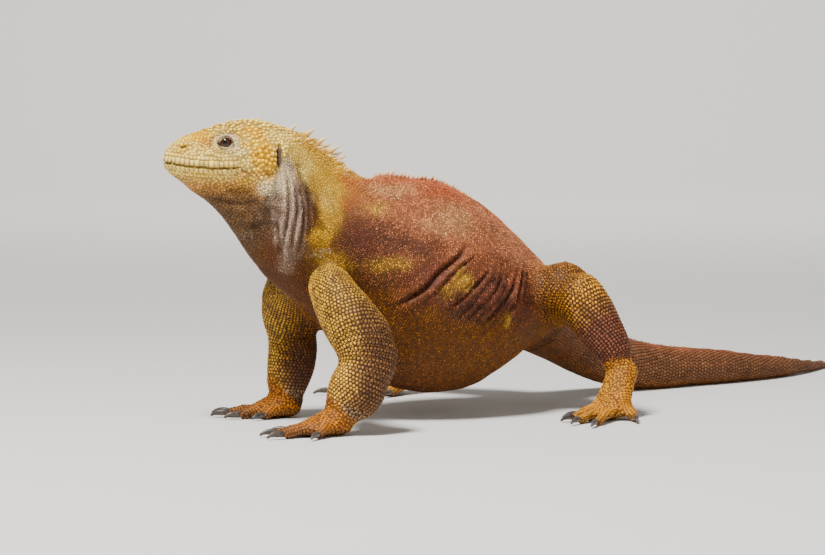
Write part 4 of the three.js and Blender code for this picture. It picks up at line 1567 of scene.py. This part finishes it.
class IGUANA_OT_head_scales(Operator):
    """Covers the head: plates along the lips, rings on the lids, raised scales on the crown"""
    bl_idname = "iguana.head_scales"
    bl_label = "Head scales"

    def execute(self, context):
        hide = made["hide"]
        sizes = scale_sizes()
        plate = dome(4, 0.9)
        rows = [(3.1, 1.0), (-2.9, 0.95)]
        edges = [(7.0, 0.82), (-6.6, 0.78)]
        lips = Roots.joined([lip_roots(hide, rise * MM, sizes.lip * share) for rise, share in rows + edges])
        lips.size = lips.size * np.random.default_rng(90).uniform(0.84, 1.08, len(lips.size))
        tall_rows = np.abs(above_mouth(lips.places)) < LIP_BAND
        colours = speckle(hide, lips, plate, 91, 0.09, (0.2, 0.15), (0.1, 0.15), 0.3)
        colours = colours.reshape(len(lips.size), -1, 3)
        for name, chosen, high in (("lip_plates", tall_rows, 0.9), ("lip_edge_plates", ~tall_rows, 0.64)):
            row = lips.pick(chosen)
            flow = np.cross(UP, hide.normals[row.vertices])
            plant(name, hide, row, plate, (0.66, high), 0.16, colours[chosen].reshape(-1, 3),
                  scale_material(), flow)

        small = dome(6, 0.72)
        lids = [lid_roots(hide, side, factor, spacing * MM) for side in SIDES
                for factor, spacing in ((1.22, 1.3), (1.5, 1.6), (1.85, 1.9))]
        lids = Roots.joined(lids)
        colours = speckle(hide, lids, small, 92, 0.07, (0.2, 0.3), (0, 0), 0.6)
        plant("lid_scales", hide, lids, small, (0.55, 0.55), 0.2, colours, scale_material())

        crown = ramp(hide.places[:, 2], 228 * MM, 236 * MM)
        twins = left_twin(hide.places)
        temple = np.clip(sum(hill(spot_gap(hide, pixel, 15, 11, twins), 1.0) for pixel in TEMPLE), 0, 1)
        crown = np.maximum(crown, temple * 0.8)
        fine = hill(eye_distance(hide.places), 14 * MM)
        throat = ramp(-above_mouth(hide.places), 9 * MM, 20 * MM)
        gap = sizes.head * (1 - 0.3 * fine - 0.3 * throat) + (sizes.crown - sizes.head) * crown
        roots = Roots(hide, random_places(hide, HEAD_REGIONS, sizes.head * 0.7, 93), 1.0)
        roots.size = gap[roots.vertices]
        roots.keep((ear_gap(roots.places) > 1.0) & (nostril_gap(roots.places) > 1.7 * MM))
        taken = np.vstack([lips.places, lids.places])
        taken_gaps = np.concatenate([lips.size, lids.size])
        inside = np.zeros(len(roots.places), dtype=bool)
        for side in SIDES:
            ahead, above, offset, _ = eye_terms(roots.places, side)
            inside |= (opening(ahead, above) < 1.15) & (np.linalg.norm(offset, axis=1) < 14 * MM)
        in_line = np.abs(above_mouth(roots.places)) < 0.8 * MM
        roots.keep(~inside & ~in_line)
        roots.keep(spread(roots.places, roots.size * 0.84, taken, taken_gaps * 0.84))
        shape = dome(7, 0.8, 0.1)
        tall = 0.2 + crown[roots.vertices] * np.random.default_rng(95).uniform(0.26, 0.8, len(roots.places))
        colours = speckle(hide, roots, shape, 94, 0.12, (0.12, 0.18), (0.1, 0.25), 0.42)
        plant("head_scales", hide, roots, shape, (0.6, 0.58), tall, colours, scale_material())
        return {"FINISHED"}


# Spines of the crest

def thorn(sides):
    """One spine: a flattened cone that leans and curves back."""
    bm = bmesh.new()
    bmesh.ops.create_cone(bm, cap_ends=True, segments=sides, radius1=1, radius2=0.04, depth=1)
    long_edges = [e for e in bm.edges if abs(e.verts[0].co.z - e.verts[1].co.z) > 0.5]
    bmesh.ops.subdivide_edges(bm, edges=long_edges, cuts=3)
    bmesh.ops.translate(bm, verts=bm.verts, vec=(0, 0, 0.5))
    for vert in bm.verts:
        swell = 1 + 0.25 * math.sin(math.pi * vert.co.z)
        vert.co.x *= swell
        vert.co.x = vert.co.x * 0.23 + 0.42 * vert.co.z ** 1.6
        vert.co.y *= 0.16 * swell
    bmesh.ops.translate(bm, verts=bm.verts, vec=(0, 0, -0.12))
    bmesh.ops.recalc_face_normals(bm, faces=bm.faces)
    return shape_of(bm)


class IGUANA_OT_crest(Operator):
    """Sets the spines along nape and back"""
    bl_idname = "iguana.crest"
    bl_label = "Crest"

    def execute(self, context):
        hide = made["hide"]
        sizes = scale_sizes()
        draw = np.random.default_rng(101)
        places, heights = [], []

        def stand(run, aside, height):
            point, ahead, left, up = BODY_PATH.at(run)
            start = point + left * (ridge_aside(run) + aside)
            spot = hide.tree.ray_cast(Vector(start), Vector(up), 0.12)[0]
            places.append(np.array(spot))
            heights.append(height)

        run = EAR_RUN - 6 * MM
        while run < HIP_RUN + 0.55 * (END_RUN - HIP_RUN):
            nape = hill(run - EAR_RUN - 10 * MM, 26 * MM)
            fade = 1 - 0.6 * ramp(run, HIP_RUN - 20 * MM, END_RUN - 0.2)
            height = (sizes.back_spine + (sizes.nape_spine - sizes.back_spine) * nape) * fade
            stand(run, draw.normal(0, 0.5 * MM), height * draw.uniform(0.6, 1.15))
            for aside in draw.uniform(2 * MM, 14 * MM, int(nape * 7)) * draw.choice((-1, 1), int(nape * 7)):
                stand(run + draw.uniform(-3, 3) * MM, aside, height * draw.uniform(0.22, 0.55))
            run += (2.6 + 3.4 * nape) * MM * draw.uniform(0.75, 1.25)
        roots = Roots(hide, np.array(places), np.array(heights))
        shape = thorn(8)
        lift = np.clip(shape[0][:, 2], 0, 1)
        ground = hide.colours[roots.vertices]
        paler = ramp(lift, 0.0, 0.6)[None, :, None]
        colours = ground[:, None] + (tint("bone") - ground)[:, None] * paler * 0.95
        plant("crest_spines", hide, roots, shape, (1.0, 1.0), 1.0, colours.reshape(-1, 3), scale_material())
        return {"FINISHED"}


# Eyes, ears and claws

EARDRUM_SIZE = (3.0 * MM, 1.6 * MM, 7.4 * MM)
EARDRUM_DEPTH = 3.6
CLAW_ROOT = 4 * MM
CLAW_BASE = 1.5 * MM


class IGUANA_OT_eyes(Operator):
    """Makes the eyeballs with iris, pupil and wet front"""
    bl_idname = "iguana.eyes"
    bl_label = "Eyes"

    def execute(self, context):
        for side in SIDES:
            bm = bmesh.new()
            bmesh.ops.create_uvsphere(bm, u_segments=48, v_segments=32, radius=EYE_RADIUS * 0.985)
            for vert in bm.verts:
                front = max(vert.co.normalized().z, 0)
                vert.co += vert.co.normalized() * 0.5 * MM * float(ramp(front, 0.78, 0.98))
            aim = Vector(unit(OUTWARD[side] + FACING * 0.12))
            turn = aim.to_track_quat("Z", "Y").to_matrix()
            bmesh.ops.rotate(bm, verts=bm.verts, cent=(0, 0, 0), matrix=turn)
            bmesh.ops.translate(bm, verts=bm.verts, vec=Vector(EYE_PLACES[side]))
            mesh = smooth_mesh(f"eyeball_{side}", bm)
            mesh.materials.append(self.eye_material(side, np.array(aim)))
            piece = object_of(f"eyeball_{side}", mesh)
            ride(piece)
            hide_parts(f"eye_{side}")
        return {"FINISHED"}

    def eye_material(self, side, aim):
        """Rings round the eye's axis: pupil, iris with fine rays and dark rim."""
        material, tree, shader = principled(f"iguana_eye_{side}", 0.2, 0.3)
        shader.inputs["Coat Weight"].default_value = 0.25
        shader.inputs["Coat Roughness"].default_value = 0.03
        nodes, links = tree.nodes, tree.links
        where = nodes.new("ShaderNodeTexCoord")
        shift = nodes.new("ShaderNodeVectorMath")
        shift.operation = "DISTANCE"
        shift.inputs[1].default_value = tuple(EYE_PLACES[side] + aim * EYE_RADIUS)
        links.new(where.outputs["Object"], shift.inputs[0])
        rays = object_noise(tree, 1400, 3)
        wobble = nodes.new("ShaderNodeMath")
        wobble.operation = "MULTIPLY_ADD"
        wobble.inputs[1].default_value = 0.9 * MM
        links.new(rays.outputs["Fac"], wobble.inputs[0])
        links.new(shift.outputs["Value"], wobble.inputs[2])
        span = nodes.new("ShaderNodeMapRange")
        span.inputs["From Min"].default_value = 0
        span.inputs["From Max"].default_value = 7 * MM
        links.new(wobble.outputs["Value"], span.inputs["Value"])
        rings = nodes.new("ShaderNodeValToRGB")
        iris = tuple(tint("iris"))
        stops = [
            (0.0, (0.004, 0.003, 0.003)),
            (0.30, (0.006, 0.004, 0.003)),
            (0.36, tuple(c * 1.5 for c in iris)),
            (0.55, iris),
            (0.72, tuple(c * 0.5 for c in iris)),
            (0.82, (0.02, 0.01, 0.008)),
        ]
        ramp_of = rings.color_ramp
        while len(ramp_of.elements) < len(stops):
            ramp_of.elements.new(0.5)
        for element, (place, shade) in zip(ramp_of.elements, stops):
            element.position = place
            element.color = (*shade, 1)
        links.new(span.outputs["Result"], rings.inputs["Fac"])
        links.new(rings.outputs["Color"], shader.inputs["Base Color"])
        return material


class IGUANA_OT_ears(Operator):
    """Makes the eardrums at the bottom of their hollows"""
    bl_idname = "iguana.ears"
    bl_label = "Ears"

    def execute(self, context):
        material, tree, shader = principled("iguana_eardrum", 0.45, 0.5)
        nodes, links = tree.nodes, tree.links
        veins = object_noise(tree, 420, 4)
        tones = nodes.new("ShaderNodeValToRGB")
        tones.color_ramp.elements[0].color = (*srgb(46, 34, 28), 1)
        tones.color_ramp.elements[1].color = (*srgb(112, 84, 64), 1)
        links.new(veins.outputs["Fac"], tones.inputs["Fac"])
        links.new(tones.outputs["Color"], shader.inputs["Base Color"])
        for side in SIDES:
            bm = bmesh.new()
            bmesh.ops.create_uvsphere(bm, u_segments=28, v_segments=18, radius=1)
            turn = Matrix((FACING, OUTWARD[side], UP)).transposed()
            bmesh.ops.scale(bm, verts=bm.verts, vec=EARDRUM_SIZE)
            bmesh.ops.rotate(bm, verts=bm.verts, cent=(0, 0, 0), matrix=turn)
            place = EAR_PLACES[side] - OUTWARD[side] * EARDRUM_DEPTH * MM
            bmesh.ops.translate(bm, verts=bm.verts, vec=Vector(place))
            bmesh.ops.recalc_face_normals(bm, faces=bm.faces)
            mesh = smooth_mesh(f"eardrum_{side}", bm)
            mesh.materials.append(material)
            piece = object_of(f"eardrum_{side}", mesh)
            ride(piece)
            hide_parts(f"ear_{side}")
        return {"FINISHED"}


class IGUANA_OT_claws(Operator):
    """Makes the smooth curved claws, their roots lengthened into the digits"""
    bl_idname = "iguana.claws"
    bl_label = "Claws"

    def execute(self, context):
        material = self.horn()
        for paw in PAWS:
            nodes = [f"claw_{paw}_{number}" for number in (1, 2, 3, 4, 5)]
            bm = bmesh.new()
            for node, (heel, tip) in zip(nodes, DIGITS[paw]):
                known = len(bm.verts)
                bm.from_mesh(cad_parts[node].data)
                bm.verts.ensure_lookup_table()
                pointing = Vector(unit((tip - heel) * np.array((1, 1, 0))))
                root = min(vert.co.dot(pointing) for vert in bm.verts[known:])
                for vert in bm.verts[known:]:
                    if vert.co.dot(pointing) < root + CLAW_BASE:
                        vert.co -= pointing * CLAW_ROOT
            bmesh.ops.remove_doubles(bm, verts=bm.verts, dist=0.01 * MM)
            bmesh.ops.subdivide_edges(bm, edges=bm.edges[:], cuts=1, use_grid_fill=True, smooth=0.6)
            bmesh.ops.smooth_vert(bm, verts=bm.verts, factor=0.3, use_axis_x=True, use_axis_y=True,
                                  use_axis_z=True)
            bmesh.ops.recalc_face_normals(bm, faces=bm.faces)
            mesh = smooth_mesh(f"claws_{paw}", bm)
            mesh.materials.append(material)
            piece = object_of(f"claws_{paw}", mesh)
            ride(piece)
            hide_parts(*nodes)
        return {"FINISHED"}

    def horn(self):
        """Dark horn with pale wear and fine streaks."""
        material, tree, shader = principled("iguana_horn", 0.38, 0.5)
        nodes, links = tree.nodes, tree.links
        streaks = object_noise(tree, 260, 6)
        tones = nodes.new("ShaderNodeValToRGB")
        tones.color_ramp.elements[0].position = 0.3
        tones.color_ramp.elements[0].color = (*(tint("horn") * 0.5), 1)
        tones.color_ramp.elements[1].position = 0.75
        tones.color_ramp.elements[1].color = (*(tint("horn") * 2.6), 1)
        links.new(streaks.outputs["Fac"], tones.inputs["Fac"])
        links.new(tones.outputs["Color"], shader.inputs["Base Color"])
        relief = nodes.new("ShaderNodeBump")
        relief.inputs["Distance"].default_value = 0.2 * MM
        links.new(streaks.outputs["Fac"], relief.inputs["Height"])
        links.new(relief.outputs["Normal"], shader.inputs["Normal"])
        return material


# Floor, light and camera

SWEEP_FLAT, SWEEP_BEND, SWEEP_TOP = 4.0, 2.0, 3.6
KEY_PLACE, FILL_PLACE, BACKDROP_PLACE = (-1.25, -0.35, 2.2), (-0.6, -2.3, 1.2), (2.0, 2.2, 3.0)
KEY_WIDTH, FILL_WIDTH, BACKDROP_WIDTH = 0.6, 1.6, 3.0
BACKDROP_AIM = (4.0, 4.4, 0.4)
SKY_COLOUR = (0.93, 0.96, 1.0, 1)


def area_light(name, place, aim, size, power):
    light = bpy.data.lights.new(name, "AREA")
    light.shape = "DISK"
    light.size = size
    light.energy = power
    lamp = bpy.data.objects.new(name, light)
    bpy.context.scene.collection.objects.link(lamp)
    lamp.location = place
    lamp.rotation_euler = (Vector(aim) - Vector(place)).to_track_quat("-Z", "Y").to_euler()


class IGUANA_OT_stage(Operator):
    """Sets the pale floor, the soft lights and the camera"""
    bl_idname = "iguana.stage"
    bl_label = "Stage"

    def execute(self, context):
        stage = context.scene.iguana_stage
        bm = bmesh.new()
        bend = [(SWEEP_FLAT + SWEEP_BEND * math.sin(turn), SWEEP_BEND * (1 - math.cos(turn)))
                for turn in np.linspace(0, math.pi / 2, 13)]
        outline = [(0, 0)] + bend + [(SWEEP_FLAT + SWEEP_BEND, SWEEP_TOP)]
        profile = [bm.verts.new((out, 0, up)) for out, up in outline]
        edges = [bm.edges.new(pair) for pair in zip(profile, profile[1:])]
        bmesh.ops.spin(bm, geom=profile + edges, cent=(0, 0, 0), axis=(0, 0, 1), angle=2 * math.pi, steps=96,
                       use_merge=True)
        bmesh.ops.remove_doubles(bm, verts=bm.verts, dist=0.1 * MM)
        bmesh.ops.recalc_face_normals(bm, faces=bm.faces)
        mesh = smooth_mesh("sweep", bm)
        material, tree, shader = principled("studio_floor", 0.85, 0.2)
        shader.inputs["Base Color"].default_value = (*stage.floor, 1)
        mesh.materials.append(material)
        object_of("sweep", mesh)

        world = bpy.data.worlds.new("studio")
        world.use_nodes = True
        world.node_tree.nodes["Background"].inputs["Color"].default_value = SKY_COLOUR
        world.node_tree.nodes["Background"].inputs["Strength"].default_value = stage.sky
        context.scene.world = world
        area_light("key", KEY_PLACE, CAMERA_AIM, KEY_WIDTH, stage.key)
        area_light("fill", FILL_PLACE, CAMERA_AIM, FILL_WIDTH, stage.fill)
        area_light("backdrop", BACKDROP_PLACE, BACKDROP_AIM, BACKDROP_WIDTH, stage.backdrop)

        camera = bpy.data.cameras.new("camera")
        camera.lens = LENS
        camera.sensor_width = SENSOR
        camera.dof.use_dof = False
        viewer = bpy.data.objects.new("camera", camera)
        context.scene.collection.objects.link(viewer)
        viewer.location = CAMERA_PLACE
        viewer.rotation_euler = Vector(-CAMERA_BACK).to_track_quat("-Z", "Y").to_euler()
        context.scene.camera = viewer
        return {"FINISHED"}


# Panel and registration

OPERATORS = [IGUANA_OT_skin, IGUANA_OT_trunk_scales, IGUANA_OT_neck_scales, IGUANA_OT_leg_scales,
             IGUANA_OT_tail_scales, IGUANA_OT_paw_scales, IGUANA_OT_head_scales, IGUANA_OT_crest,
             IGUANA_OT_eyes, IGUANA_OT_ears, IGUANA_OT_claws, IGUANA_OT_stage]
SETTINGS = {"iguana_skin": IguanaSkin, "iguana_scales": IguanaScales, "iguana_colours": IguanaColours,
            "iguana_stage": IguanaStage}


class IGUANA_PT_panel(Panel):
    """Lists the settings and the pieces"""
    bl_idname = "IGUANA_PT_panel"
    bl_label = "Land iguana"
    bl_space_type = "VIEW_3D"
    bl_region_type = "UI"
    bl_category = "Iguana"

    def draw(self, context):
        for operator in OPERATORS:
            self.layout.operator(operator.bl_idname)
        for name, group in SETTINGS.items():
            box = self.layout.box()
            for setting in group.__annotations__:
                box.prop(getattr(context.scene, name), setting)


def register():
    for group in SETTINGS.values():
        bpy.utils.register_class(group)
    for name, group in SETTINGS.items():
        setattr(bpy.types.Scene, name, PointerProperty(type=group))
    for operator in OPERATORS:
        bpy.utils.register_class(operator)
    bpy.utils.register_class(IGUANA_PT_panel)


def unregister():
    bpy.utils.unregister_class(IGUANA_PT_panel)
    for operator in reversed(OPERATORS):
        bpy.utils.unregister_class(operator)
    for name, group in SETTINGS.items():
        delattr(bpy.types.Scene, name)
        bpy.utils.unregister_class(group)


def main():
    register()
    for operator in OPERATORS:
        family, name = operator.bl_idname.split(".")
        getattr(getattr(bpy.ops, family), name)()


if __name__ == "__main__":
    main()
